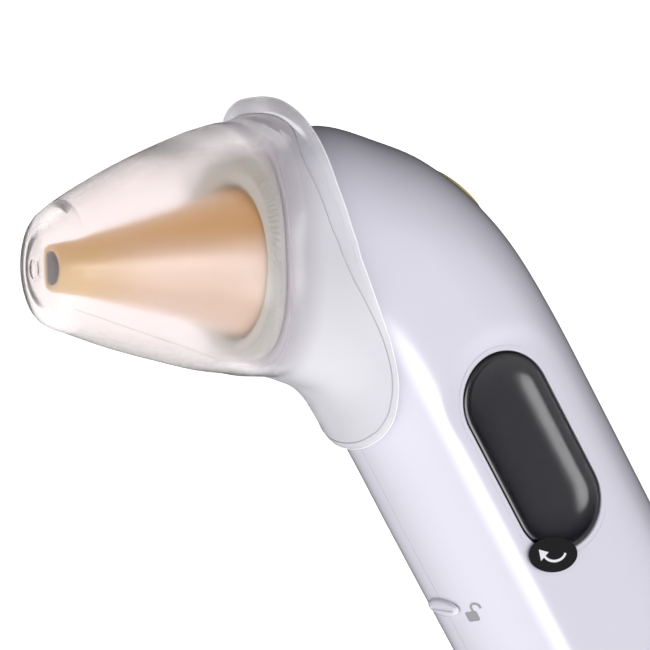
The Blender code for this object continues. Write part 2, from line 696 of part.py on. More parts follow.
def build_leads():
    red = ((-6.0, -2.2, 64.0), (-5.9, -1.8, 66.0), (-3.5, -0.9, 69.5), (0.5, -1.4, 72.5), (2.4, -2.9, 74.2))
    black = ((-6.0, 5.6, 64.0), (-5.7, 5.4, 66.2), (-1.5, 2.6, 68.4), (4.5, 0.4, 68.8), (8.0, -2.9, 70.2))
    finish(wire("lead_red", through(red), LEAD_RADIUS), (0.6, 0.03, 0.03), 0.4)
    finish(wire("lead_black", through(black), LEAD_RADIUS), (0.03, 0.03, 0.03), 0.4)


def build_lock():
    """The door lock: an oval knob outside, a stem through the slot and a plate inside."""
    angles = [math.tau * i / LOCK_POINTS for i in range(LOCK_POINTS)]
    layers = ((-1.15, 2.2, 0.5), (-0.95, 3.2, 1.0), (-0.5, 3.8, 1.45), (-0.35, 3.8, 1.45))
    rings = [[(LOCK_FACE_X + x, w * math.cos(a), LOCK_Z + h * math.sin(a)) for a in angles]
             for x, w, h in layers]
    knob = from_bmesh("door_lock_slider", loft(rings))
    stem = box("lock_stem", (LOCK_FACE_X - 0.6, -LOCK_STEM_Y, LOCK_Z - LOCK_STEM_Z),
               (LOCK_FACE_X + 3.0, LOCK_STEM_Y, LOCK_Z + LOCK_STEM_Z), True)
    plate = box("lock_plate", (LOCK_FACE_X + 2.7, -2.4, LOCK_Z - 1.8),
                (LOCK_FACE_X + 3.5, 2.4, LOCK_Z + 1.8), True)
    boolean(knob, stem, "UNION")
    boolean(knob, plate, "UNION")
    finish(knob, (0.84, 0.84, 0.88), 0.2)


# ---------------------------------------------------------------- protective cap

# (s, top radius, bottom radius, side radius) of the cap's cone, from its end back to the nose
CAP_CONE = (
    (-28.8, 2.6, 2.6, 2.6),
    (-28.5, 4.9, 4.9, 4.9),
    (-27.8, 6.5, 6.5, 6.5),
    (-26.7, 7.4, 7.3, 7.3),
    (-24.4, 8.7, 8.1, 8.3),
    (-18.8, 11.7, 10.2, 10.6),
    (-12.6, 14.5, 12.1, 12.6),
    (-6.5, 16.9, 13.8, 14.0),
    (-2.0, 18.2, 14.7, 14.6),
)
# section number of the cap's rear rim at angles from the top (0) round to the bottom (180)
CAP_RIM = ((0.0, 10.8), (25.0, 10.75), (50.0, 10.6), (70.0, 10.25), (83.0, 9.75), (92.0, 9.1),
           (106.0, 8.2), (118.0, 7.0), (127.0, 6.1), (135.0, 5.6), (148.0, 5.35), (162.0, 5.18), (180.0, 5.1))
CAP_ROWS = 11
# the rim flares out at the top, and less towards the sides
LIP_FLARE = 2.2
LIP_SPREAD = 0.8
TOP_ROOM = 1.7


def between(table, x):
    """Linear reading of a table of pairs."""
    for (a, p), (b, q) in zip(table, table[1:]):
        if x <= b:
            return p + (q - p) * (x - a) / (b - a)
    return table[-1][1]


def cap_surface():
    """The cap's outer surface: a dome and cone about the probe, then a skirt that follows the case."""
    bm = bmesh.new()
    apex = bm.verts.new(probe_point(CAP_TIP_S, 0.0))
    angles = [math.tau * i / CAP_POINTS for i in range(CAP_POINTS)]
    rows = []
    for s, top, bottom, side in CAP_CONE:
        row = []
        for a in angles:
            height = top if math.cos(a) > 0 else bottom
            row.append(bm.verts.new(probe_point(s, height * math.cos(a), side * math.sin(a))))
        rows.append(row)
    for k in range(CAP_ROWS + 1):
        row = []
        for a in angles:
            degrees = math.degrees(min(a, math.tau - a))
            rim = between(CAP_RIM, degrees)
            t = k / CAP_ROWS
            u = NOSE + (rim - NOSE) * t
            crown = max(math.cos(a), 0.0) ** 1.2
            lip = max(math.cos(math.radians(degrees) * LIP_SPREAD), 0.0) * max(t * 4 - 3, 0.0)
            out = CAP_CLEARANCE + CAP_WALL + TOP_ROOM * crown + LIP_FLARE * lip
            row.append(bm.verts.new(case_point(u, a, out)))
        rows.append(row)
    for i in range(CAP_POINTS):
        bm.faces.new((apex, rows[0][i], rows[0][(i + 1) % CAP_POINTS]))
    for row, after in zip(rows, rows[1:]):
        for i in range(CAP_POINTS):
            j = (i + 1) % CAP_POINTS
            bm.faces.new((row[i], after[i], after[j], row[j]))
    bmesh.ops.recalc_face_normals(bm, faces=bm.faces)
    return bm


def build_cap():
    cap = from_bmesh("protective_cap", cap_surface())
    wall = cap.modifiers.new("wall", "SOLIDIFY")
    wall.thickness = CAP_WALL * MM
    wall.offset = -1.0
    wall.use_even_offset = True
    finish(cap, (0.92, 0.93, 0.94), 0.35, alpha=0.4)


build_shells()
build_screws()
build_display()
build_film()
build_board()
build_button()
build_probe()
build_sensor_flex()
build_cells()
build_leads()
build_lock()
build_cap()
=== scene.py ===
"""Looks for the ear thermometer: smooth skins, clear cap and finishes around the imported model.

Shapes are worked out in millimetres, and mesh_object() scales them to metres. Distances in the
camera and in the materials' nodes are in metres.
The handle stands on the floor at the origin, the probe leaves the head towards -X and up, and
the display is on the -Y side.
"""
import math

import bmesh
import bpy
from mathutils import Matrix, Vector
from mathutils.bvhtree import BVHTree


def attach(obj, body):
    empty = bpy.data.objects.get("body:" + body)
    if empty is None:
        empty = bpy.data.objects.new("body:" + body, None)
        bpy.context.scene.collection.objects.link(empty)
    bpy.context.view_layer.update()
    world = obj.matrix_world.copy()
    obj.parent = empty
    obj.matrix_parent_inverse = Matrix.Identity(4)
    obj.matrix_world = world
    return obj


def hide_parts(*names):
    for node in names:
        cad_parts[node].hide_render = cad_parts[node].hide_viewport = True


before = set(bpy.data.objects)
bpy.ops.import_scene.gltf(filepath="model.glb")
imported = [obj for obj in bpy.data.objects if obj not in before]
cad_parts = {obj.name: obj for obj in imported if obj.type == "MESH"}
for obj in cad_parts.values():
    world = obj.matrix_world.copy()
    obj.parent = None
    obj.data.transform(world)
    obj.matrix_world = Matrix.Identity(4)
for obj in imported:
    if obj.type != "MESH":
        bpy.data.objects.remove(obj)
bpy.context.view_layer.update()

MM = 0.001


# ---- case surface, in millimetres

PROBE_TILT = math.radians(28.5)
PROBE_BACK = Vector((math.cos(PROBE_TILT), 0.0, -math.sin(PROBE_TILT)))
PROBE_UP = Vector((math.sin(PROBE_TILT), 0.0, math.cos(PROBE_TILT)))
RING_CENTRE = Vector((-18.9, 0.0, 130.7))
SECTION_POWER = 2.6
NOSE_S = 0.8
WALL = 1.6
NOSE_WALL = 1.8
# half the gap between the two shells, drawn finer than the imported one
SEAM = 0.04
SEAM_LIP_INSET = 0.5


def probe_point(s, h, y=0.0):
    """A point s back along the probe axis from its ring and h above the axis."""
    return RING_CENTRE + PROBE_BACK * s + PROBE_UP * h + Vector((0.0, y, 0.0))


def plane_point(x, z):
    return Vector((x, 0.0, z))


# (outer point, inner point, half width) of the sections from the handle up to the nose
SECTIONS = (
    (plane_point(16.4, 3.0), plane_point(-15.7, 3.0), 12.9),
    (plane_point(16.8, 34.0), plane_point(-15.9, 34.0), 13.0),
    (plane_point(17.0, 64.0), plane_point(-16.0, 64.0), 13.1),
    (plane_point(17.05, 91.0), plane_point(-16.0, 87.0), 13.15),
    (plane_point(16.85, 104.1), plane_point(-15.9, 95.0), 13.2),
    (plane_point(15.9, 114.2), plane_point(-15.9, 100.5), 13.3),
    (plane_point(13.5, 122.6), plane_point(-16.0, 105.0), 13.4),
    (plane_point(9.75, 130.0), plane_point(-16.3, 108.7), 13.5),
    (plane_point(5.15, 135.4), plane_point(-17.4, 111.6), 13.5),
    (probe_point(12.0, 17.5), plane_point(-19.3, 114.0), 13.5),
    (probe_point(6.8, 16.8), probe_point(4.6, -13.9), 13.5),
    (probe_point(2.6, 15.9), probe_point(2.4, -13.7), 13.4),
    (probe_point(NOSE_S, 15.2), probe_point(NOSE_S, -13.6), 13.2),
)
NOSE = len(SECTIONS) - 1


def knots():
    middles = [(outer + inner) / 2 for outer, inner, _ in SECTIONS]
    out = [0.0]
    for a, b in zip(middles, middles[1:]):
        out.append(out[-1] + (b - a).length)
    return out


KNOTS = knots()


def hermite(a, b, m, n, t):
    """Cubic from a to b, which starts with slope m and ends with slope n."""
    return (a * (2 * t ** 3 - 3 * t ** 2 + 1) + m * (t ** 3 - 2 * t ** 2 + t)
            + b * (3 * t ** 2 - 2 * t ** 3) + n * (t ** 3 - t ** 2))


def cubic_between(places, values, k, t):
    """Cubic from value k to value k + 1, with slopes from their neighbours."""
    def slope(i):
        low = max(i - 1, 0)
        high = min(i + 1, len(values) - 1)
        return (values[high] - values[low]) / (places[high] - places[low])
    span = places[k + 1] - places[k]
    return hermite(values[k], values[k + 1], slope(k) * span, slope(k + 1) * span, t)


def section_at(u):
    """Outer point, inner point and half width at section number u, which may be a fraction."""
    index = min(int(u), NOSE - 1)
    return tuple(cubic_between(KNOTS, [s[k] for s in SECTIONS], index, u - index) for k in range(3))


def swell(value, power):
    """A power of a number that keeps its sign."""
    return math.copysign(abs(value) ** power, value)


def oval_point(section, angle, out):
    """A point of a section, out mm outside it. Angle 0 is the back or top, pi is the front."""
    outer, inner, width = section
    middle = (outer + inner) / 2
    reach = (outer - inner) / 2
    along = swell(math.cos(angle), 2.0 / SECTION_POWER) * (reach.length + out)
    across = swell(math.sin(angle), 2.0 / SECTION_POWER) * (width + out)
    return middle + reach.normalized() * along + Vector((0.0, across, 0.0))


def case_point(u, angle, out=0.0):
    return oval_point(section_at(u), angle, out)


def smoothstep(x, low, high):
    t = min(max((x - low) / (high - low), 0.0), 1.0)
    return t * t * (3.0 - 2.0 * t)


def turn_angles(count):
    return [math.tau * i / count for i in range(count)]


def even_angles(count):
    """Angles that space points evenly round a typical section."""
    section = section_at(2.0)
    fine = 1440
    points = [oval_point(section, math.tau * i / fine, 0.0) for i in range(fine + 1)]
    run = [0.0]
    for a, b in zip(points, points[1:]):
        run.append(run[-1] + (b - a).length)
    out = []
    k = 0
    for i in range(count):
        goal = run[-1] * i / count
        while run[k + 1] < goal:
            k += 1
        out.append(math.tau * (k + (goal - run[k]) / (run[k + 1] - run[k])) / fine)
    return out


def stations(pitch, low, high):
    """Section numbers spaced about pitch mm apart along the case."""
    count = int((KNOTS[-1] - KNOTS[0]) / pitch)
    out = []
    for i in range(count + 1):
        goal = KNOTS[-1] * i / count
        index = 0
        while index < NOSE - 1 and KNOTS[index + 1] < goal:
            index += 1
        u = index + (goal - KNOTS[index]) / (KNOTS[index + 1] - KNOTS[index])
        if low <= u <= high:
            out.append(u)
    return out


# ---- relief of the display side

PANEL_Y = 12.12
PANEL_MIDDLE_X = 1.3
PANEL_TOP_Z = 95.6
PANEL_RADIUS = 10.2
# half width of the head above the panel, and how much it grows over two ranges of height
HEAD_Y = 12.3
HEAD_GROWTH = 0.75
HEAD_TOP_GROWTH = 0.6
# the relief leaves everything behind this y as it is
RELIEF_Y = -6.0
EDGE_SOFTNESS = 0.34
EDGE_SOFTNESS_GROWTH = 0.75


def soft_min(a, b, width):
    """The smaller of two numbers, rounded off where they are closer than width."""
    h = max(width - abs(a - b), 0.0) / width
    return min(a, b) - h * h * width / 4


def relief(p):
    """Moves a point of the case's outer surface onto the flattened display side."""
    if p.y > RELIEF_Y:
        return p
    # the flat panel, and the side of the head above it
    rise = smoothstep(p.z, PANEL_TOP_Z, 118.0)
    head = HEAD_Y + HEAD_GROWTH * rise + HEAD_TOP_GROWTH * smoothstep(p.z, 112.0, 130.0)
    over = math.hypot(p.x - PANEL_MIDDLE_X, max(p.z - PANEL_TOP_Z, 0.0)) - PANEL_RADIUS
    step = smoothstep(over, -1.2, 1.6) * smoothstep(p.z, PANEL_TOP_Z - 2.0, PANEL_TOP_Z + 3.0)
    level = PANEL_Y + (head - PANEL_Y) * step
    edge = EDGE_SOFTNESS + EDGE_SOFTNESS_GROWTH * smoothstep(p.x, 0.0, 7.0)
    return Vector((p.x, -soft_min(-p.y, level, edge), p.z))


# ---- mesh helpers

# vertices closer than this are one
WELD = 0.00001
SIDEWAYS = Vector((0.0, 1.0, 0.0))


def mesh_object(name, bm, smooth=35.0):
    """A new object from a bmesh in millimetres."""
    bmesh.ops.recalc_face_normals(bm, faces=bm.faces)
    bmesh.ops.scale(bm, vec=(MM, MM, MM), verts=bm.verts)
    mesh = bpy.data.meshes.new(name)
    bm.to_mesh(mesh)
    bm.free()
    mesh.shade_smooth()
    if smooth:
        mesh.set_sharp_from_angle(angle=math.radians(smooth))
    obj = bpy.data.objects.new(name, mesh)
    bpy.context.scene.collection.objects.link(obj)
    return obj


def quads(bm, rows):
    """Join closed rows with equal numbers of vertices."""
    count = len(rows[0])
    for row, after in zip(rows, rows[1:]):
        for i in range(count):
            j = (i + 1) % count
            bm.faces.new((row[i], row[j], after[j], after[i]))


def skin(rings, close_start=True, close_end=True):
    """Skin a run of rings with equal numbers of points, closing its ends with flat faces."""
    bm = bmesh.new()
    rows = [[bm.verts.new(p) for p in ring] for ring in rings]
    quads(bm, rows)
    if close_start:
        bm.faces.new(rows[0])
    if close_end:
        bm.faces.new(reversed(rows[-1]))
    return bm


def cut(obj, cutters, operation="DIFFERENCE"):
    """Apply booleans with the given cutters, which are then removed."""
    for cutter in cutters:
        step = obj.modifiers.new("cut", "BOOLEAN")
        step.operation = operation
        step.solver = "MANIFOLD"
        step.object = cutter
    settle(obj)
    for cutter in cutters:
        bpy.data.objects.remove(cutter, do_unlink=True)
    return obj


def settle(obj):
    """Apply an object's modifiers to its mesh."""
    bpy.context.view_layer.update()
    graph = bpy.context.evaluated_depsgraph_get()
    mesh = bpy.data.meshes.new_from_object(obj.evaluated_get(graph))
    obj.modifiers.clear()
    obj.data = mesh
    return obj


def resharpen(obj, degrees):
    obj.data.shade_smooth()
    obj.data.set_sharp_from_angle(angle=math.radians(degrees))
    return obj


def box_cutter(low, high):
    bm = bmesh.new()
    bmesh.ops.create_cube(bm, size=1.0)
    bmesh.ops.scale(bm, vec=Vector(high) - Vector(low), verts=bm.verts)
    bmesh.ops.translate(bm, vec=(Vector(high) + Vector(low)) / 2, verts=bm.verts)
    return mesh_object("cutter", bm, None)


def axis_frame(origin, axis):
    """A frame at origin whose local Z is axis and whose local Y is as near the world's Y."""
    z = Vector(axis).normalized()
    y = SIDEWAYS if abs(z.y) < 0.9 else Vector((0.0, 0.0, 1.0))
    x = y.cross(z).normalized()
    y = z.cross(x)
    return Matrix.Translation(Vector(origin)) @ Matrix((x, y, z)).transposed().to_4x4()


def turned_bm(profile, origin, axis, sides, lift=None):
    """A turned body: profile (radius, height) runs down the outside and back up the inside.

    lift(place, radius, angle), if given, is added to the height, which bends the body to a surface.
    """
    place = axis_frame(origin, axis)
    hollow = profile[0][0] > 0.0
    rings = []
    for a in turn_angles(sides):
        ring = []
        for r, h in profile:
            if lift:
                h += lift(place, r, a)
            ring.append(place @ Vector((r * math.cos(a), r * math.sin(a), h)))
        rings.append(ring)
    bm = bmesh.new()
    columns = [[bm.verts.new(p) for p in ring] for ring in rings]
    count = len(profile)
    for k in range(sides):
        this = columns[k]
        after = columns[(k + 1) % sides]
        for i in range(count if hollow else count - 1):
            j = (i + 1) % count
            bm.faces.new((this[i], after[i], after[j], this[j]))
    bmesh.ops.remove_doubles(bm, verts=bm.verts, dist=WELD)
    return bm


def turned(name, profile, origin, axis, sides=96, smooth=35.0, lift=None):
    return mesh_object(name, turned_bm(profile, origin, axis, sides, lift), smooth)


def plug_cutter(origin, axis, radius, high, low, sides=96):
    """A solid cylinder round an axis, between two heights."""
    profile = [(0.0, high), (radius, high), (radius, low), (0.0, low)]
    return turned("cutter", profile, origin, axis, sides, None)


def tube(name, points, radius, sides=6):
    """A thin closed tube along a run of points."""
    rings = []
    for i, p in enumerate(points):
        way = (points[min(i + 1, len(points) - 1)] - points[max(i - 1, 0)]).normalized()
        side = way.cross(Vector((0.3, 0.5, 0.8))).normalized()
        up = way.cross(side)
        rings.append([p + side * (radius * math.cos(a)) + up * (radius * math.sin(a))
                      for a in turn_angles(sides)])
    return mesh_object(name, skin(rings), 60.0)


def rounded(profile, radius, steps=4):
    """Round every inner corner of an open profile with a small arc."""
    out = [profile[0]]
    for a, b, c in zip(profile, profile[1:], profile[2:]):
        p = Vector(a)
        q = Vector(b)
        r = Vector(c)
        back = min(radius, (p - q).length / 2.2)
        on = min(radius, (r - q).length / 2.2)
        start = q + (p - q).normalized() * back
        end = q + (r - q).normalized() * on
        for i in range(steps + 1):
            t = i / steps
            out.append(tuple(start * (1 - t) ** 2 + q * 2 * t * (1 - t) + end * t * t))
    out.append(profile[-1])
    return out


WINDOW_X = 0.8
WINDOW_Z = 89.5
WINDOW_HALF_WIDTH = 6.65
WINDOW_HALF_LENGTH = 14.4


def stadium(half_width, half_length, steps=32):
    points = []
    for end in (1.0, -1.0):
        for i in range(steps + 1):
            angle = math.pi * i / steps + (0.0 if end > 0 else math.pi)
            x = WINDOW_X + half_width * math.cos(angle)
            z = WINDOW_Z + end * (half_length - half_width) + half_width * math.sin(angle)
            points.append((x, z))
    return points


def stadium_bm(layers, steps=32, closed=False):
    """A body of stadium outlines, one for each (y, growth over the window's own size)."""
    rings = []
    for y, grow in layers:
        outline = stadium(WINDOW_HALF_WIDTH + grow, WINDOW_HALF_LENGTH + grow, steps)
        rings.append([(x, y, z) for x, z in outline])
    if not closed:
        return skin(rings)
    bm = skin(rings + rings[:1], False, False)
    bmesh.ops.remove_doubles(bm, verts=bm.verts, dist=WELD)
    return bm


# ---- material helpers

class Graph:
    """A node tree, with short ways to add to it."""

    def __init__(self, tree):
        self.tree = tree

    def add(self, kind, **values):
        node = self.tree.nodes.new(kind)
        for key, value in values.items():
            if hasattr(node, key):
                setattr(node, key, value)
            else:
                node.inputs[key.replace("_", " ")].default_value = value
        return node

    def link(self, source, target):
        self.tree.links.new(source, target)

    def calc(self, operation, *values):
        """A sum of numbers and of other nodes' outputs."""
        node = self.add("ShaderNodeMath", operation=operation)
        for socket, value in zip(node.inputs, values):
            if isinstance(value, float):
                socket.default_value = value
            else:
                self.link(value, socket)
        return node.outputs["Value"]

    def dot(self, source, axis):
        node = self.add("ShaderNodeVectorMath", operation="DOT_PRODUCT")
        node.inputs[1].default_value = axis
        self.link(source, node.inputs[0])
        return node.outputs["Value"]

    def smooth_range(self, source, low, high, top=1.0):
        """0 to top as the source goes from low to high."""
        node = self.add("ShaderNodeMapRange", interpolation_type="SMOOTHSTEP",
                        From_Min=low, From_Max=high, To_Max=top)
        self.link(source, node.inputs["Value"])
        return node.outputs["Result"]


class Nodes(Graph):
    """A node material with a Principled shader, and short ways to add detail to it."""

    def __init__(self, name, colour, roughness, **sockets):
        self.material = bpy.data.materials.new(name)
        self.material.use_nodes = True
        super().__init__(self.material.node_tree)
        self.shader = self.tree.nodes["Principled BSDF"]
        self.shader.inputs["Base Color"].default_value = (*colour, 1.0)
        self.shader.inputs["Roughness"].default_value = roughness
        for key, value in sockets.items():
            self.shader.inputs[key.replace("_", " ")].default_value = value
        self.coords = self.add("ShaderNodeTexCoord")
        self.bumped = None

    def noise(self, scale, detail=3.0, stretch=None):
        node = self.add("ShaderNodeTexNoise", Scale=scale, Detail=detail)
        source = self.coords.outputs["Object"]
        if stretch:
            mapping = self.add("ShaderNodeMapping")
            mapping.inputs["Scale"].default_value = stretch
            self.link(source, mapping.inputs["Vector"])
            source = mapping.outputs["Vector"]
        self.link(source, node.inputs["Vector"])
        return node.outputs["Fac"]

    def along(self, axis, low, high):
        """0 to 1 between two distances from the probe's ring along an axis, in metres."""
        offset = self.add("ShaderNodeVectorMath", operation="SUBTRACT")
        offset.inputs[1].default_value = RING_CENTRE * MM
        self.link(self.coords.outputs["Object"], offset.inputs[0])
        return self.smooth_range(self.dot(offset.outputs["Vector"], axis), low, high)

    def ramp(self, source, low, high):
        """Map 0..1 to low..high, both numbers or both colours."""
        if isinstance(low, tuple):
            node = self.add("ShaderNodeMix", data_type="RGBA")
            for item in node.inputs:
                if item.type == "RGBA":
                    item.default_value = (*(low if item.name == "A" else high), 1.0)
            self.link(source, node.inputs["Factor"])
            return [o for o in node.outputs if o.type == "RGBA"][0]
        node = self.add("ShaderNodeMapRange", To_Min=low, To_Max=high)
        self.link(source, node.inputs["Value"])
        return node.outputs["Result"]

    def bump(self, source, distance, strength=1.0):
        node = self.add("ShaderNodeBump", Strength=strength, Distance=distance)
        self.link(source, node.inputs["Height"])
        if self.bumped:
            self.link(self.bumped, node.inputs["Normal"])
        self.bumped = node.outputs["Normal"]
        self.link(self.bumped, self.shader.inputs["Normal"])

    def colour(self, source):
        self.link(source, self.shader.inputs["Base Color"])

    def rough(self, source):
        self.link(source, self.shader.inputs["Roughness"])


def shade(c, k):
    return tuple(min(v * k, 1.0) for v in c)


# (scale, detail) of moulded plastic's colour drift and of its sink marks, and the marks' depth
DRIFT = (60.0, 2.0)
SINKS = (120.0, 1.0)
MARK_DEPTH = 0.00002


def moulded(name, colour, roughness, spread=0.03, grain=0.0, **sockets):
    """Moulded plastic: slight colour drift, faint sink marks and an optional fine grain."""
    nodes = Nodes(name, colour, roughness, **sockets)
    drift = nodes.noise(*DRIFT)
    nodes.colour(nodes.ramp(drift, shade(colour, 1 - spread), shade(colour, 1 + spread)))
    nodes.rough(nodes.ramp(nodes.noise(900.0, 3.0), roughness * 0.85, roughness * 1.2))
    nodes.bump(nodes.noise(*SINKS), MARK_DEPTH)
    if grain:
        nodes.bump(nodes.noise(6000.0, 2.0), grain)
    return nodes.material


def metal(name, colour, roughness, stretch=(1.0, 1.0, 1.0), **sockets):
    """Metal with fine tool marks along one direction."""
    nodes = Nodes(name, colour, roughness, Metallic=1.0, **sockets)
    marks = nodes.noise(1500.0, 4.0, stretch)
    nodes.colour(nodes.ramp(marks, shade(colour, 0.85), shade(colour, 1.08)))
    nodes.rough(nodes.ramp(marks, roughness * 0.7, roughness * 1.4))
    nodes.bump(marks, MARK_DEPTH)
    return nodes.material


def assign(obj, material):
    obj.data.materials.clear()
    obj.data.materials.append(material)
    return obj


def dress(name, material):
    """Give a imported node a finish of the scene's own."""
    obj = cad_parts[name]
    if not obj.material_slots:
        obj.data.materials.append(material)
    for item in obj.material_slots:
        item.material = material
    return obj


def piece(obj, body, slot, material, *nodes):
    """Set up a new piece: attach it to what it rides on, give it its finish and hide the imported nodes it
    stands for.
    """
    assign(obj, material)
    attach(obj, body)
    if nodes:
        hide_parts(*nodes)
    return obj


# ---- camera, floor and light

CAMERA_UP = Vector((0.515, 0.0, 0.857))
CAMERA_BACK = Vector((-0.402, -0.883, 0.242))
LOOK_AT = Vector((-0.01151, 0.00109, 0.11648))
CAMERA_DISTANCE = 0.45
FOCAL_LENGTH = 186.9
SENSOR_WIDTH = 36.0


def build_camera():
    data = bpy.data.cameras.new("camera")
    data.lens = FOCAL_LENGTH
    data.sensor_width = SENSOR_WIDTH
    data.clip_start = 0.01
    data.clip_end = 50.0
    back = CAMERA_BACK.normalized()
    right = CAMERA_UP.cross(back).normalized()
    up = back.cross(right)
    camera = bpy.data.objects.new("camera", data)
    turn = Matrix((right, up, back)).transposed().to_4x4()
    camera.matrix_world = Matrix.Translation(LOOK_AT + back * CAMERA_DISTANCE) @ turn
    bpy.context.scene.collection.objects.link(camera)
    bpy.context.scene.camera = camera


# brightness of the studio, and its lobes: direction, cosines where a lobe starts and is full, amount,
# and the only rays that see it; the camera itself sees plain white
WORLD_BASE = 0.06
WORLD_LOBES = (
    ((-0.50, -0.50, -0.70), -0.5, 0.95, 1.38, None),
    ((-0.12, -0.96, -0.14), 0.93, 0.99, 3.4, None),
    ((-0.95, 0.30, -0.10), 0.2, 0.95, 0.36, None),
    ((-0.12, -0.95, -0.17), 0.90, 0.98, 4.0, "Is Glossy Ray"),
    ((0.40, 0.88, 0.0), -0.9, 0.5, 0.75, "Is Transmission Ray"),
    ((0.20, 0.30, 0.93), 0.1, 0.9, 0.45, "Is Transmission Ray"),
)
OPAQUE_WHITE = (1.0, 1.0, 1.0, 1.0)
# the floor glows like a light table, and lets the studio's lower half light the object through it
FLOOR_GLOW = 1.05
FLOOR_RADII = (20.0, 600.0, 2000.0, 6000.0)


def build_world():
    """A pale studio that is brightest in front and below, behind a plain white backdrop."""
    world = bpy.data.worlds.new("studio")
    world.use_nodes = True
    bpy.context.scene.world = world
    world.node_tree.nodes.clear()
    graph = Graph(world.node_tree)
    way = graph.add("ShaderNodeTexCoord").outputs["Generated"]
    path = graph.add("ShaderNodeLightPath")
    total = WORLD_BASE
    for direction, low, high, amount, rays in WORLD_LOBES:
        facing = graph.dot(way, Vector(direction).normalized())
        lobe = graph.smooth_range(facing, low, high, amount)
        total = graph.calc("MULTIPLY_ADD", lobe, path.outputs[rays] if rays else 1.0, total)
    lit = graph.add("ShaderNodeBackground", Color=OPAQUE_WHITE)
    seen = graph.add("ShaderNodeBackground", Color=OPAQUE_WHITE, Strength=1.0)
    mix = graph.add("ShaderNodeMixShader")
    out = graph.add("ShaderNodeOutputWorld")
    graph.link(total, lit.inputs["Strength"])
    graph.link(path.outputs["Is Camera Ray"], mix.inputs["Fac"])
    graph.link(lit.outputs["Background"], mix.inputs[1])
    graph.link(seen.outputs["Background"], mix.inputs[2])
    graph.link(mix.outputs["Shader"], out.inputs["Surface"])


def build_floor():
    rings = [[(r * math.cos(a), r * math.sin(a), 0.0) for a in turn_angles(64)] for r in FLOOR_RADII]
    floor = mesh_object("floor", skin(rings, close_end=False), None)
    nodes = Nodes("floor_paper", (0.93, 0.93, 0.935), 0.9)
    nodes.colour(nodes.ramp(nodes.noise(3.0), (0.92, 0.92, 0.925), (0.94, 0.94, 0.945)))
    nodes.shader.inputs["Emission Color"].default_value = OPAQUE_WHITE
    nodes.shader.inputs["Emission Strength"].default_value = FLOOR_GLOW
    assign(floor, nodes.material)
    floor.visible_diffuse = False
    floor.visible_glossy = False


def build_studio():
    build_camera()
    build_world()
    build_floor()
    scene = bpy.context.scene
    scene.view_settings.view_transform = "Standard"
    scene.view_settings.look = "None"


build_studio()


# ---- finishes

WHITE = (0.70, 0.685, 0.785)

shell_white = moulded("shell_white", WHITE, 0.16, 0.006, Coat_Weight=0.4, Coat_Roughness=0.06)
ring_grey = moulded("ring_grey", (0.74, 0.79, 0.74), 0.4, 0.03, 0.000004)
lens_black = moulded("lens_black", (0.005, 0.0045, 0.009), 0.11, 0.1)
button_amber = moulded("button_amber", (0.80, 0.57, 0.20), 0.25, 0.05, Coat_Weight=0.3)
silver = metal("silver", (0.62, 0.62, 0.63), 0.28, (1.0, 1.0, 6.0))


def build_amber():
    """Amber plastic with painted light and shade: deep amber on top as painted shade, and a pale lower side
    as painted light, paler towards the case.
    """
    nodes = Nodes("amber_plastic", (0.76, 0.39, 0.02), 0.35, Coat_Weight=1.0, Coat_Roughness=0.42,
                  Coat_IOR=2.1)
    # painted shade mask: 0 just below the probe's axis, rising to 1 a few mm above it
    high = nodes.along(PROBE_UP, -0.001, 0.0055)
    near = nodes.along(PROBE_BACK, -0.024, -0.012)
    # pale amber of the lower side is painted light, paler towards the case; the deep amber on top is painted
    # shade
    below = nodes.ramp(near, (0.80, 0.55, 0.20), (0.86, 0.64, 0.46))
    above = nodes.ramp(nodes.noise(*DRIFT), (0.72, 0.335, 0.004), (0.78, 0.375, 0.008))
    mix = nodes.add("ShaderNodeMixRGB")
    nodes.link(high, mix.inputs["Fac"])
    nodes.link(below, mix.inputs["Color1"])
    nodes.link(above, mix.inputs["Color2"])
    nodes.colour(mix.outputs["Color"])
    nodes.bump(nodes.noise(*SINKS), MARK_DEPTH)
    return nodes.material


amber = build_amber()


def build_cap_material():
    """Frosted clear plastic: clear at its end, hazier along the cone and most on the skirt."""
    nodes = Nodes("cap_frosted", (1.0, 0.95, 0.95), 0.2, IOR=1.4, Transmission_Weight=0.9,
                  Specular_IOR_Level=0.9)
    haze = nodes.along(PROBE_BACK, -0.0275, -0.021)
    skirt = nodes.along(PROBE_BACK, -0.003, 0.006)
    milky = nodes.calc("MULTIPLY", skirt, nodes.ramp(nodes.along(PROBE_UP, 0.011, 0.017), -0.60, -0.28))
    clear = nodes.calc("ADD", nodes.ramp(haze, 0.98, 0.965), milky)
    nodes.link(clear, nodes.shader.inputs["Transmission Weight"])
    # smoother where the ribbed band shows through the sides
    sides = nodes.calc("SUBTRACT", nodes.along(PROBE_BACK, -0.008, -0.002),
                       nodes.along(PROBE_BACK, 0.002, 0.006))
    sides = nodes.calc("MULTIPLY", sides, nodes.ramp(nodes.along(PROBE_UP, 0.006, 0.012), 1.0, 0.0))
    nodes.rough(nodes.calc("MULTIPLY_ADD", sides, -0.14, nodes.ramp(haze, 0.14, 0.25)))
    nodes.colour(nodes.ramp(skirt, (1.0, 0.945, 0.945), (0.955, 0.945, 1.0)))
    nodes.bump(nodes.noise(2600.0, 2.0), 0.0000008)
    return nodes.material


cap_frosted = build_cap_material()


# ---- case

RING_POINTS = 192
STATION_PITCH = 0.8
FOOT_RINGS = ((1.6, 0.0), (1.1, 0.15), (0.7, 0.5), (0.4, 0.9), (0.2, 1.4), (0.06, 2.2))
FOOT_SEAM_Y = 8.0
FOOT_SEAM_Z = 3.2
# (section number, inset) of the rings that round the nose off, after the last plain one
LAST_STATION = 11.75
NOSE_RINGS = ((11.88, 0.05), (11.95, 0.22), (12.0, 0.7))
# (inset, height) of the hollow's lowest rings
HOLLOW_FOOT = ((1.0, 1.8), (0.0, 3.0))
HOLLOW_PITCH = 3.0
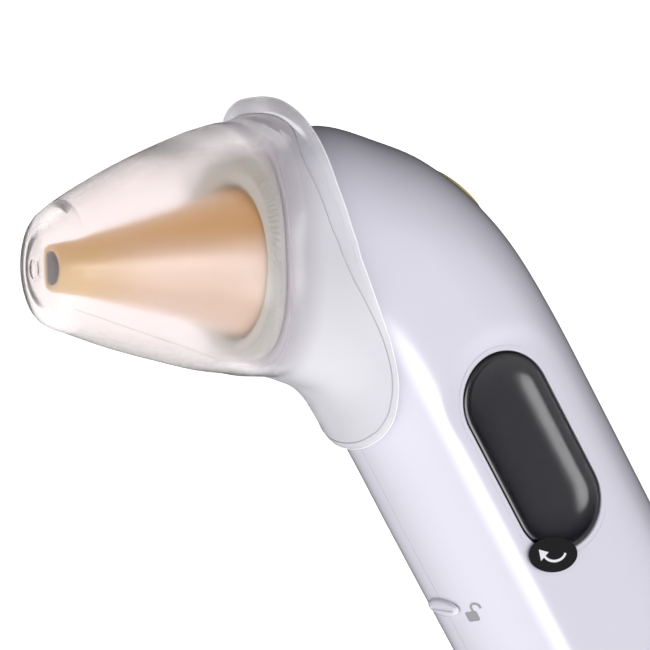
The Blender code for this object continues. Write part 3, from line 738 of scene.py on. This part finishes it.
# a box of this reach holds the whole case
BEYOND_X = 60.0
BEYOND_Y = 40.0
BELOW_Z = -5.0
ABOVE_Z = 170.0
ANGLES = even_angles(RING_POINTS)


def ring_at(u, out):
    section = section_at(u)
    return [relief(oval_point(section, a, out)) for a in ANGLES]


def case_solid(name, within=0.0):
    """The case's outside as a solid, or one that is smaller all round."""
    rings = []
    for inset, z in FOOT_RINGS:
        rings.append([Vector((p.x, p.y, z + within)) for p in ring_at(0.0, -inset - within)])
    rings += [ring_at(u, -within) for u in stations(STATION_PITCH, 0.0, LAST_STATION)]
    rings += [ring_at(u, -inset - within) for u, inset in NOSE_RINGS]
    return mesh_object(name, skin(rings), None)


def hollow_cutter(more=0.0):
    """The hollow inside the walls, or a smaller one that leaves them thicker."""
    wall = WALL + more

    def ring(u, inset=0.0):
        section = section_at(u)
        return [oval_point(section, a, -wall - inset) for a in ANGLES[::4]]
    rings = [[Vector((p.x, p.y, z + more)) for p in ring(0.0, inset)] for inset, z in HOLLOW_FOOT]
    rings += [ring(u) for u in stations(HOLLOW_PITCH, 0.2, 10.0)]
    rings.append([p + PROBE_BACK * NOSE_WALL for p in ring(NOSE)])
    return mesh_object("cutter", skin(rings), None)


def side_cutter(grow):
    """Everything that belongs to the display side shell: y < 0, and most of the foot."""
    step_y = FOOT_SEAM_Y + SEAM + grow
    step_z = FOOT_SEAM_Z + SEAM + grow
    wall_y = grow - SEAM
    outline = ((-BEYOND_Y, BELOW_Z), (step_y, BELOW_Z), (step_y, step_z), (wall_y, step_z),
               (wall_y, ABOVE_Z), (-BEYOND_Y, ABOVE_Z))
    return mesh_object("cutter", skin([[(x, y, z) for y, z in outline] for x in (-BEYOND_X, BEYOND_X)]), None)


GAP = 0.3
DOOR_BACK_X = -9.0
DOOR_HALF_WIDTH = 8.5
DOOR_LOW_Z = 12.0
DOOR_HIGH_Z = 66.0
LOCK_Z = 74.6
LOCK_TRAVEL = 2.5
BUTTON_POINT = Vector((12.9, 0.0, 122.2))
BUTTON_TILT = math.radians(26.0)
BUTTON_AXIS = Vector((math.cos(BUTTON_TILT), 0.0, math.sin(BUTTON_TILT)))
SCREW_PLACES = ((10.0, 12.0, 8.6), (10.0, 57.5, 8.6), (9.3, 111.0, 8.6), (-10.8, 103.5, 7.4))


NOSE_HOLE_RADIUS = 10.3
BUTTON_HOLE_RADIUS = 6.4
SCREW_BORE_RADIUS = 2.2
SHELL_SHARP = 32.0
LIP_HALF_WIDTH = 0.6
LIP_THICKNESS = 0.6
# (y, growth) of the display's opening, of the pocket for its lens and of the fine groove round it
WINDOW_OPENING = ((-20.0, 0.5), (-12.3, 0.5), (-12.12, 0.28), (-12.0, 0.15), (-11.8, 0.1), (-9.0, 0.1))
LENS_POCKET = ((-11.3, 1.6), (-9.0, 1.6))
WINDOW_GROOVE = ((-12.4, 0.98), (-12.06, 0.93), (-12.06, 0.83), (-12.4, 0.78))


def shell_cutters():
    nose = plug_cutter(RING_CENTRE, -PROBE_BACK, NOSE_HOLE_RADIUS, 3.0, -6.0)
    button = plug_cutter(BUTTON_POINT, BUTTON_AXIS, BUTTON_HOLE_RADIUS, 6.0, -5.0)
    door = box_cutter((-30.0, -DOOR_HALF_WIDTH - GAP, DOOR_LOW_Z - GAP),
                      (DOOR_BACK_X, DOOR_HALF_WIDTH + GAP, DOOR_HIGH_Z + GAP))
    lock = box_cutter((-30.0, -0.85 - LOCK_TRAVEL, LOCK_Z - 0.6), (DOOR_BACK_X, 0.9, LOCK_Z + 0.6))
    return [nose, button, door, lock]


def finish_white(obj, body, *nodes):
    """Give a cut part of the case its edges and finish."""
    resharpen(obj, SHELL_SHARP)
    piece(obj, body, "white_shell", shell_white, *nodes)


def build_case():
    near = case_solid("near_shell")
    cut(near, [side_cutter(0.0)], "INTERSECT")
    openings = [mesh_object("cutter", stadium_bm(layers, closed=closed), None)
                for layers, closed in ((WINDOW_OPENING, False), (LENS_POCKET, False), (WINDOW_GROOVE, True))]
    cut(near, [hollow_cutter()] + shell_cutters() + openings)
    finish_white(near, "case", "display_side_shell")

    far = case_solid("far_shell")
    bores = [plug_cutter((x, 0.0, z), SIDEWAYS, SCREW_BORE_RADIUS, 16.0, head_y - 0.3, 32)
             for x, z, head_y in SCREW_PLACES]
    cut(far, [side_cutter(2 * SEAM), hollow_cutter()] + shell_cutters() + bores)
    finish_white(far, "case", "plain_side_shell")

    # a lip inside the seam, so that no light shines through it
    lip = case_solid("seam_lip", SEAM_LIP_INSET)
    cut(lip, [box_cutter((-BEYOND_X, -LIP_HALF_WIDTH, BELOW_Z), (BEYOND_X, LIP_HALF_WIDTH, ABOVE_Z))],
        "INTERSECT")
    cut(lip, [hollow_cutter(LIP_THICKNESS)] + shell_cutters())
    finish_white(lip, "case")

    door = case_solid("door_panel")
    cut(door, [box_cutter((-30.0, -DOOR_HALF_WIDTH, DOOR_LOW_Z),
                          (DOOR_BACK_X - GAP, DOOR_HALF_WIDTH, DOOR_HIGH_Z))], "INTERSECT")
    cut(door, [hollow_cutter()])
    finish_white(door, "door", "battery_door")


build_case()


# ---- display

# (y, growth) from the middle of the dished lens out over its rim and down its sides
LENS_LAYERS = (
    (-10.8, -5.2), (-10.81, -4.6), (-10.85, -3.9), (-10.92, -3.2), (-11.03, -2.55), (-11.18, -2.0),
    (-11.38, -1.5), (-11.6, -1.12), (-11.85, -0.85), (-12.02, -0.68), (-12.1, -0.6), (-12.12, -0.54),
    (-12.07, -0.2), (-12.0, -0.06), (-11.85, 0.0), (-11.0, 0.0), (-11.0, 1.2), (-10.3, 1.2),
)


def build_display():
    lens = mesh_object("window_dish", stadium_bm(LENS_LAYERS, 48), 40.0)
    piece(lens, "case", "black_lens", lens_black, "display_lens")


build_display()


# ---- cap

CAP_WALL = 1.1
CAP_CLEARANCE = 0.5
CAP_TIP_S = -28.9
# (s, top radius, bottom radius, side radius) of the cap's cone, from its end back to the nose
CAP_CONE = (
    (-28.8, 2.6, 2.6, 2.6),
    (-28.5, 5.1, 5.1, 5.1),
    (-27.8, 6.8, 6.75, 6.75),
    (-26.7, 7.75, 7.6, 7.6),
    (-24.4, 9.25, 8.5, 8.6),
    (-18.8, 12.15, 10.55, 10.8),
    (-12.6, 14.85, 12.4, 12.7),
    (-6.5, 17.05, 14.0, 14.05),
    (-2.0, 18.2, 14.7, 14.6),
)
# section number of the cap's rear rim at angles from the top (0) round to the bottom (180)
CAP_RIM = ((0.0, 10.8), (5.9, 10.764), (14.7, 10.694), (24.8, 10.613), (35.5, 10.486), (46.3, 10.332),
           (56.4, 10.152), (65.7, 9.951), (74.1, 9.726), (81.4, 9.485), (87.4, 9.226), (91.1, 8.944),
           (96.4, 8.624), (103.3, 8.218), (111.4, 7.668), (120.4, 6.922), (130.3, 6.06), (140.9, 5.53),
           (151.7, 5.29), (162.1, 5.19), (171.4, 5.12), (180.0, 5.08))
LIP_FLARE = 2.2
LIP_SPREAD = 0.8
TOP_ROOM = 1.7
TOP_FILL = 1.3


def curve_through(table, x):
    """Smooth reading of a table whose first column rises."""
    places = [row[0] for row in table]
    k = 0
    while k < len(table) - 2 and x > places[k + 1]:
        k += 1
    t = min(max((x - places[k]) / (places[k + 1] - places[k]), 0.0), 1.0)
    return cubic_between(places, [row[1] for row in table], k, t)


CAP_ANGLES = even_angles(192)
CAP_PITCH = 0.8
# (s, radius) of the gate mark on the cap's end, and of the shallow well with a sharp rim inside it
GATE_MARK = ((-28.78, 0.5), (-28.78, 0.95), (-28.84, 1.15), (-28.93, 1.3), (-28.93, 1.42), (-28.88, 1.6),
             (-28.86, 1.8))
INNER_WELL = ((-27.75, 1.2), (-27.7, 2.6), (-27.55, 3.6), (-27.3, 4.4), (-26.98, 5.0), (-26.6, 5.42),
              (-26.5, 5.5), (-26.45, 5.6), (-26.3, 5.76), (-25.9, 6.2), (-25.4, 6.62), (-25.0, 6.88))
WELL_END_S = -24.6
SKIRT_LENGTH = 34.0
FLANGE_RUN = 0.5
FLANGE_STEPS = 4
FLANGE_THICK = 0.7
RIM_THINNING = 0.4


def circle_row(s, radius):
    return [probe_point(s, radius * math.cos(a), radius * math.sin(a)) for a in CAP_ANGLES]


def cone_radii(s):
    """Top, bottom and side radius of the cap's cone."""
    return [curve_through([(row[0], row[k]) for row in CAP_CONE], s) for k in (1, 2, 3)]


def cone_row(s, inset):
    top, bottom, side = (radius - inset for radius in cone_radii(s))
    if inset:
        top -= TOP_FILL * smoothstep(s, -15.0, -4.0)
    power = 2.0 / (2.0 + (SECTION_POWER - 2.0) * smoothstep(s, -10.0, -0.5))
    row = []
    for a in CAP_ANGLES:
        c = swell(math.cos(a), power)
        row.append(probe_point(s, (top if c > 0 else bottom) * c, side * swell(math.sin(a), power)))
    return row


def cone_stops(first):
    """Places along the probe axis for the cone's rings, evenly spaced along its side."""
    low = CAP_CONE[0][0]
    high = CAP_CONE[-1][0]
    profile = [(row[0], row[3]) for row in CAP_CONE]
    fine = [low + (high - low) * (i / 400) ** 2 for i in range(401)]
    run = 0.0
    stops = [low]
    for s0, s1 in zip(fine, fine[1:]):
        run += math.hypot(s1 - s0, curve_through(profile, s1) - curve_through(profile, s0))
        if run >= CAP_PITCH:
            stops.append(s1)
            run = 0.0
    return [s for s in stops if s >= first]


def rim_taper(a):
    """1 at the top of the cap's rim, falling to 0 where its flange ends on each side."""
    return max(math.cos(min(a, math.tau - a) * LIP_SPREAD), 0.0)


def top_room(a, fill=0.0):
    """Extra room between the case and the cap towards the top, less what a thicker wall fills."""
    return (TOP_ROOM - fill) * max(math.cos(a), 0.0) ** 1.2


def rim_place(a):
    """Section number of the rim at an angle, and its distance from the nose."""
    rim = curve_through(CAP_RIM, math.degrees(min(a, math.tau - a)))
    return rim, (case_point(NOSE, a) - case_point(rim, a)).length


def skirt_row(t, inset, fill=0.0):
    """A ring of the skirt, t of the way from the nose to the foot of the flange."""
    row = []
    for a in CAP_ANGLES:
        rim, length = rim_place(a)
        along = t * (1.0 - FLANGE_RUN / length)
        room = top_room(a, fill)
        p = case_point(NOSE + (rim - NOSE) * along, a, CAP_CLEARANCE + CAP_WALL + room - inset)
        # the extra room at the top does not widen the mouth, so that it runs smoothly into the cone
        p.y -= swell(math.sin(a), 2.0 / SECTION_POWER) * room * max(1.0 - 2.0 * t, 0.0)
        row.append(p)
    return row


def flange_rows(inset):
    """Rings from the skirt's edge out along the flange at the rim."""
    fill = TOP_FILL if inset else 0.0
    foot = skirt_row(1.0, inset, fill)
    raised = skirt_row(1.0, inset - 1.0)
    before = skirt_row(0.9, inset, fill)
    count = len(foot)
    rows = [[] for _ in range(FLANGE_STEPS)]
    for i, a in enumerate(CAP_ANGLES):
        up = (raised[i] - foot[i]).normalized()
        back = (foot[(i + 1) % count] - foot[i - 1]).cross(up).normalized()
        if back.dot(foot[i] - before[i]) < 0.0:
            back.negate()
        taper = rim_taper(a)
        for k, row in enumerate(rows):
            f = (k + 1) / FLANGE_STEPS
            run = FLANGE_RUN * f
            rise = LIP_FLARE * taper * f ** 0.7
            if inset:
                run += FLANGE_THICK * taper * f
                rise += CAP_WALL * RIM_THINNING * f
            row.append(foot[i] + back * run + up * rise)
    return rows


def skirt_rows(inset):
    count = int(SKIRT_LENGTH / CAP_PITCH)
    fill = TOP_FILL if inset else 0.0
    return [skirt_row(k / count, inset, fill) for k in range(count + 1)] + flange_rows(inset)


def bridge_rows(rows, skirt, steps=6):
    """Rings that run smoothly from the cone into the skirt."""
    out = []
    for k in range(1, steps):
        t = k / steps
        row = []
        for a, b, c, d in zip(rows[-2], rows[-1], skirt[0], skirt[1]):
            span = (c - b).length
            m = (b - a).normalized() * span
            n = (d - c).normalized() * span
            row.append(hermite(b, c, m, n, t))
        out.append(row)
    return out


def cap_surface(inset, ends, first):
    rows = [circle_row(s, r) for s, r in ends] + [cone_row(s, inset) for s in cone_stops(first)]
    skirt = skirt_rows(inset)
    return rows + bridge_rows(rows, skirt) + skirt


def build_cap():
    bm = bmesh.new()
    outer = [[bm.verts.new(p) for p in row] for row in cap_surface(0.0, GATE_MARK, CAP_TIP_S)]
    inner = [[bm.verts.new(p) for p in row] for row in cap_surface(CAP_WALL, INNER_WELL, WELL_END_S)]
    tip = bm.verts.new(probe_point(GATE_MARK[0][0], 0.0))
    well = bm.verts.new(probe_point(INNER_WELL[0][0], 0.0))
    count = len(CAP_ANGLES)
    for i in range(count):
        j = (i + 1) % count
        bm.faces.new((tip, outer[0][j], outer[0][i]))
        bm.faces.new((well, inner[0][i], inner[0][j]))
    quads(bm, outer)
    quads(bm, inner)
    quads(bm, [outer[-1], inner[-1]])
    cap = mesh_object("cap_shell", bm, 28.0)
    piece(cap, "cap", "frosted_cap", cap_frosted, "protective_cap")


PARTING_LINE_RADIUS = 0.03
# section number, lift off the case and radius of the ledge inside the cap
SEAT_U = 10.9
SEAT_LIFT = 0.34
SEAT_RADIUS = 0.07
RIM_LINE_RADIUS = 0.08
# how far the rim's bead widens on the sides, and how much of that it loses towards the front
BEAD_GROWTH = 1.3
BEAD_LOSS = 0.7
BEAD_LIFT = 0.02


def build_parting_line():
    """The fine line that the mould leaves along the cap's lower front."""
    points = []
    for k in range(41):
        t = k / 40
        s = -26.0 + 20.0 * t
        a = math.radians(228.0 - 21.0 * t)
        _, bottom, side = cone_radii(s)
        points.append(probe_point(s, bottom * math.cos(a), side * math.sin(a)))
    line = tube("cap_parting_line", points, PARTING_LINE_RADIUS)
    faint = moulded("parting_line", (0.35, 0.34, 0.35), 0.4, 0.05)
    piece(line, "cap", "frosted_cap", faint)


def build_seat_line():
    """The fine ledge inside the cap that stops it on the case."""
    points = [case_point(SEAT_U, a, SEAT_LIFT) for a in CAP_ANGLES]
    line = tube("cap_seat_line", points + points[:1], SEAT_RADIUS)
    piece(line, "cap", "frosted_cap", moulded("seat_line", (0.92, 0.92, 0.95), 0.2, 0.01))


def bead_row():
    """Points along the inner border of the rim's bead, which is widest on the sides."""
    row = []
    for a in CAP_ANGLES:
        degrees = math.degrees(min(a, math.tau - a))
        wide = smoothstep(degrees, 25.0, 60.0) * (1.0 - BEAD_LOSS * smoothstep(degrees, 90.0, 125.0))
        rim, length = rim_place(a)
        along = 1.0 - (FLANGE_RUN + BEAD_GROWTH * wide) / length
        out = CAP_CLEARANCE + CAP_WALL + top_room(a) + BEAD_LIFT
        row.append(case_point(NOSE + (rim - NOSE) * along, a, out))
    return row


def build_rim_lines():
    """Fine lines along the rim: a grey painted shadow at the foot of its flange and a near-white painted
    highlight outside.
    """
    # the grey line is painted shadow and the near-white line is a painted highlight
    for name, row, colour in (("cap_rim_shadow", bead_row(), (0.45, 0.45, 0.48)),
                              ("cap_rim_highlight", flange_rows(0.0)[-1], (0.97, 0.97, 1.0))):
        line = tube(name, row + row[:1], RIM_LINE_RADIUS)
        piece(line, "cap", "frosted_cap", moulded(name, colour, 0.3, 0.02))


build_cap()
build_rim_lines()
build_parting_line()
build_seat_line()


# ---- film and its pull tab

FILM_Y = -12.42
FILM_THICK = 0.12
TAB_X = -3.95
TAB_Z = 76.2
TAB_LONG = 3.8
TAB_SHORT = 2.4
TAB_TURN = math.radians(-31.0)
TAB_THICK = 0.14
TAB_FRONT_Y = FILM_Y - FILM_THICK - 0.16
INK_THICK = 0.012
# the arrow's arc on the tab: its middle and radii along and across the tab, and half its stroke
ARROW_MIDDLE = (0.15, 0.4)
ARROW_RADII = (1.75, 1.3)
ARROW_STROKE = 0.17
ARROW_HEAD_LENGTH = 1.35
ARROW_HEAD_HALF_WIDTH = 0.82


def flat_piece(name, outline, y_front, thick, round_edge=0.03):
    """A thin flat piece facing -Y with softened front edges; outline is a run of (x, z) points."""
    middle = Vector((sum(p[0] for p in outline), sum(p[1] for p in outline))) / len(outline)
    rings = []
    for y, shrink in ((y_front + thick, 0.0), (y_front + round_edge, 0.0), (y_front, round_edge)):
        ring = []
        for x, z in outline:
            q = Vector((x, z)) - (Vector((x, z)) - middle).normalized() * shrink
            ring.append((q.x, y, q.y))
        rings.append(ring)
    return mesh_object(name, skin(rings), 30.0)


def tab_point(along, across):
    """A point of the tab from its own long and short directions."""
    c = math.cos(TAB_TURN)
    s = math.sin(TAB_TURN)
    return TAB_X + along * c - across * s, TAB_Z + along * s + across * c


def strip_piece(name, points, widths, place, thick=INK_THICK):
    """A thin printed stroke along a run of points; place(p, q, out) puts a point on a surface."""
    rings = []
    for i, p in enumerate(points):
        way = Vector(points[min(i + 1, len(points) - 1)]) - Vector(points[max(i - 1, 0)])
        way.normalize()
        side = Vector((-way.y, way.x)) * widths[i]
        left = Vector(p) + side
        right = Vector(p) - side
        rings.append([place(*left, thick), place(*right, thick), place(*right, 0.0), place(*left, 0.0)])
    return mesh_object(name, skin(rings), 30.0)


def build_film():
    clear = Nodes("film_clear", (0.12, 0.10, 0.19), 0.07, Alpha=0.06)
    clear.rough(clear.ramp(clear.noise(300.0), 0.05, 0.10))
    film = mesh_object("film_sheet", stadium_bm([(FILM_Y, -0.3), (FILM_Y - FILM_THICK, -0.32)]), 30.0)
    piece(film, "film", "film", clear.material, "protective_film")
    tab_black = moulded("tab_black", (0.007, 0.007, 0.009), 0.4, 0.1, Specular_IOR_Level=0.1)
    outline = [tab_point(TAB_LONG * math.cos(a), TAB_SHORT * math.sin(a)) for a in turn_angles(72)]
    piece(flat_piece("film_tab", outline, TAB_FRONT_Y, TAB_THICK), "film", "film", tab_black)
    ink = moulded("tab_print", (0.80, 0.80, 0.84), 0.5, 0.02)
    arc = []
    for i in range(25):
        a = math.radians(-12.0 - 138.0 * i / 24)
        arc.append(tab_point(ARROW_MIDDLE[0] + ARROW_RADII[0] * math.cos(a),
                             ARROW_MIDDLE[1] + ARROW_RADII[1] * math.sin(a)))
    stroke = strip_piece("tab_arrow_arc", arc, [ARROW_STROKE] * len(arc),
                         lambda x, z, out: (x, TAB_FRONT_Y - out, z))
    piece(stroke, "film", "film", ink)
    end = Vector(arc[-1])
    way = (end - Vector(arc[-3])).normalized()
    side = Vector((-way.y, way.x)) * ARROW_HEAD_HALF_WIDTH
    head = (end + way * ARROW_HEAD_LENGTH, end - side, end + side)
    rings = [[(p.x, y, p.y) for p in head] for y in (TAB_FRONT_Y - INK_THICK, TAB_FRONT_Y)]
    piece(mesh_object("tab_arrow_head", skin(rings), 30.0), "film", "film", ink)


build_film()


# ---- probe, ribbed band and button

# (radius, height) down the outside of the probe from its tip, and back up its bore
PROBE_OUTSIDE = [
    (2.5, 25.95), (2.9, 25.95), (3.2, 25.6), (3.28, 24.8), (3.75, 22.4), (4.45, 19.5), (5.25, 16.1),
    (6.05, 12.7), (6.6, 10.6), (7.1, 8.8), (7.7, 6.8), (8.35, 5.0), (8.95, 3.3), (9.5, 1.8),
    (9.85, 0.9), (10.0, 0.4), (10.0, -3.9), (11.5, -3.9), (11.5, -5.1),
]
PROBE_BORE = [
    (9.0, -5.1), (9.0, -0.4), (8.5, 1.4), (7.2, 4.4), (5.5, 8.4), (4.2, 12.7), (3.3, 19.5), (2.8, 24.3),
    (2.25, 24.6), (2.25, 25.75),
]
PROBE_GLASS = [(0.0, 25.9), (1.3, 25.88), (2.0, 25.8), (2.22, 25.68), (2.22, 24.8), (0.0, 24.8)]


def build_probe():
    cone = turned("probe_skin", PROBE_OUTSIDE + PROBE_BORE, RING_CENTRE, -PROBE_BACK, 96, 40.0)
    piece(cone, "case", "amber_plastic", amber, "probe_cone")
    glass = turned("probe_glass", PROBE_GLASS, RING_CENTRE, -PROBE_BACK, 64, 40.0)
    dark = Nodes("probe_glass_dark", (0.035, 0.025, 0.03), 0.15, Coat_Weight=0.3)
    dark.colour(dark.ramp(dark.noise(400.0), (0.03, 0.025, 0.035), (0.055, 0.045, 0.05)))
    piece(glass, "case", "probe_glass", dark.material, "probe_window")


RIBS = 116
RIB_INNER_RADIUS = 10.6
RIB_SLANT = 3.6
RIB_DEPTH = 0.55
# how far the band's outer edge lies inside the nose
BAND_INSET = 0.55
BAND_STEPS = 26


def build_ribbed_band():
    """The band round the probe's foot, with fine slanted ribs on its front."""
    nose = section_at(float(NOSE))

    def row_at(t, s):
        row = []
        for a in turn_angles(RIBS * 6):
            inner = probe_point(s, RIB_INNER_RADIUS * math.cos(a), RIB_INNER_RADIUS * math.sin(a))
            outer = oval_point(nose, a, -BAND_INSET) + PROBE_BACK * (s - NOSE_S)
            p = inner.lerp(outer, t)
            wave = math.cos(a * RIBS + RIB_SLANT * 2.0 * t * math.pi)
            fade = smoothstep(t, 0.4, 0.55) * (1.0 - smoothstep(t, 0.9, 0.98))
            row.append(p - PROBE_BACK * (RIB_DEPTH * fade * (0.5 + 0.5 * wave)))
        return row
    rows = [row_at(0.0, 0.5), row_at(0.0, -0.9)]
    rows += [row_at(k / BAND_STEPS, -1.0 + 1.05 * (k / BAND_STEPS) ** 1.6) for k in range(BAND_STEPS + 1)]
    rows += [row_at(1.0, 0.3), row_at(1.0, 0.55)]
    bm = bmesh.new()
    skins = [[bm.verts.new(p) for p in row] for row in rows]
    quads(bm, skins + skins[:1])
    band = mesh_object("rib_band", bm, 40.0)
    piece(band, "case", "rim_plastic", ring_grey, "ribbed_ring")


# rays that find the case's surface start this far over the button's flat
BUTTON_PROBE_HEIGHT = 8.0
# (radius, height over the case) of the button's ring, and of the button below its crown
BUTTON_RING = [(5.3, -2.6), (5.3, 0.04), (5.6, 0.14), (6.0, 0.1), (6.35, -0.06), (6.35, -2.6)]
BUTTON_RADIUS = 5.15
BUTTON_STEM = [(BUTTON_RADIUS, -2.6), (4.6, -3.3), (1.5, -3.3), (1.5, -4.0), (0.0, -4.0)]


def build_button():
    rings = [ring_at(u, 0.0) for u in stations(STATION_PITCH, 4.0, 10.0)]
    tree = BVHTree.FromBMesh(skin(rings))

    def lift(place, radius, angle):
        """Height of the case's surface over the button's own flat."""
        start = place @ Vector((radius * math.cos(angle), radius * math.sin(angle), BUTTON_PROBE_HEIGHT))
        return BUTTON_PROBE_HEIGHT - tree.ray_cast(start, -BUTTON_AXIS)[3]
    trim = turned("button_trim", rounded(BUTTON_RING, 0.12)[::-1], BUTTON_POINT, BUTTON_AXIS, 96, 40.0, lift)
    piece(trim, "case", "silver_ring", silver, "button_ring")
    crown = []
    for i in range(15):
        a = math.pi / 2 * i / 14
        crown.append((BUTTON_RADIUS * math.sin(a), 0.2 + 0.45 * math.cos(a) ** 0.5))
    cap = turned("button_skin", crown + BUTTON_STEM, BUTTON_POINT, BUTTON_AXIS, 96, 40.0, lift)
    piece(cap, "button", "amber_plastic", button_amber, "button_cap")


build_probe()
build_ribbed_band()
build_button()


# ---- door lock and its symbol

LOCK_FACE_X = -16.0
# (x over the handle's front, half width, half height) of the knob's rings
KNOB_RINGS = ((-0.62, 1.4, 0.5), (-0.6, 2.4, 0.85), (-0.54, 3.05, 1.12), (-0.42, 3.5, 1.33),
              (-0.22, 3.75, 1.43), (0.0, 3.8, 1.46), (0.06, 3.75, 1.43))
# (nearest x, farthest x, half width, half height) of the neck through the slot and the foot behind it
KNOB_NECK = (-0.2, 3.0, 0.8, 0.5)
KNOB_FOOT = (2.7, 3.5, 2.4, 1.8)
KNOB_GROOVE_RADIUS = 0.34


def build_lock():
    rings = []
    for x, w, h in KNOB_RINGS:
        rings.append([(LOCK_FACE_X + x, w * math.cos(a), LOCK_Z + h * math.sin(a)) for a in turn_angles(64)])
    knob = mesh_object("lock_knob", skin(rings), 40.0)
    # one groove along the knob
    cut(knob, [plug_cutter((LOCK_FACE_X - 0.75, 0.0, LOCK_Z), SIDEWAYS, KNOB_GROOVE_RADIUS, 3.0, -3.0, 24)])
    cut(knob, [box_cutter((LOCK_FACE_X + near, -w, LOCK_Z - h), (LOCK_FACE_X + far, w, LOCK_Z + h))
               for near, far, w, h in (KNOB_NECK, KNOB_FOOT)], "UNION")
    resharpen(knob, 35.0)
    piece(knob, "lock", "white_shell", shell_white, "door_lock_slider")


SYMBOL_Y = -5.3
SYMBOL_Z = 73.15
# height of section 2 on the handle's front, and from there to section 3
SYMBOL_SECTION_Z = 64.3
SYMBOL_SECTION_STEP = 23.0
PRINT_LIFT = 0.04


def front_point(across, up, out):
    """A point of the handle's narrow front, across towards the display and up from the padlock's middle."""
    u = 2.0 + (SYMBOL_Z + up - SYMBOL_SECTION_Z) / SYMBOL_SECTION_STEP
    width = section_at(u)[2]
    angle = math.pi + math.asin(((across - SYMBOL_Y) / width) ** (SECTION_POWER / 2.0))
    return case_point(u, angle, out + PRINT_LIFT)


def build_symbol():
    """An open padlock printed beside the lock."""
    grey = moulded("symbol_grey", (0.30, 0.30, 0.33), 0.5, 0.05)
    body = [(0.03, -0.75 + 1.5 * k / 12) for k in range(13)]
    widths = [1.02 - 0.22 * max(abs(k - 6) - 4.0, 0.0) / 2.0 for k in range(13)]
    piece(strip_piece("padlock_body", body, widths, front_point), "case", "white_shell", grey)
    bow = [(0.55, 0.75), (0.55, 0.95)]
    for k in range(17):
        a = math.pi * (1.0 - k / 16)
        bow.append((1.22 + 0.67 * math.cos(a), 1.15 + 0.67 * math.sin(a)))
    bow.append((1.89, 0.92))
    piece(strip_piece("padlock_bow", bow, [0.15] * len(bow), front_point), "case", "white_shell", grey)


build_lock()
build_symbol()


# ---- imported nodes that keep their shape

DRESSED = (
    (moulded("board_green", (0.02, 0.22, 0.08), 0.4, 0.15),
     ("main_board", "switch_board")),
    (metal("steel", (0.6, 0.58, 0.54), 0.3),
     ("thermopile", "bridge_contact", "contact_positive", "contact_negative",
      "contact_spring_lower", "contact_spring_upper")),
    (metal("dark_steel", (0.3, 0.3, 0.32), 0.35),
     ("case_screw_1", "case_screw_2", "case_screw_3", "case_screw_4")),
    (metal("turned_aluminium", (0.66, 0.66, 0.68), 0.3, (1.0, 1.0, 8.0)), ("sensor_block",)),
    (metal("gold_tube", (0.85, 0.58, 0.2), 0.15), ("waveguide",)),
    (moulded("black_plastic", (0.02, 0.02, 0.022), 0.5, 0.1, 0.00001),
     ("microcontroller", "buzzer", "switch_body", "switch_plunger", "battery_tray")),
    (moulded("pale_plastic", (0.72, 0.72, 0.72), 0.5, 0.03, 0.00001),
     ("probe_nut", "lcd_frame", "backlight_guide")),
    (moulded("lcd_surface", (0.16, 0.2, 0.17), 0.12, 0.08), ("lcd_glass",)),
    (moulded("cell_skin", (0.03, 0.035, 0.05), 0.3, 0.1, 0.0, Metallic=0.6),
     ("cell_left", "cell_right")),
    (moulded("rubber_black", (0.02, 0.02, 0.02), 0.8, 0.1, 0.00001),
     ("lens_gasket", "probe_gasket")),
    (moulded("rubber_pink", (0.55, 0.25, 0.28), 0.7, 0.08, 0.00001),
     ("elastomer_strip_lower", "elastomer_strip_upper")),
    (moulded("flex_amber", (0.5, 0.2, 0.03), 0.35, 0.1), ("sensor_flex",)),
    (moulded("lead_red_skin", (0.5, 0.02, 0.02), 0.4, 0.05), ("lead_red",)),
    (moulded("lead_black_skin", (0.02, 0.02, 0.02), 0.4, 0.05), ("lead_black",)),
)
for finish, names in DRESSED:
    for name in names:
        dress(name, finish)
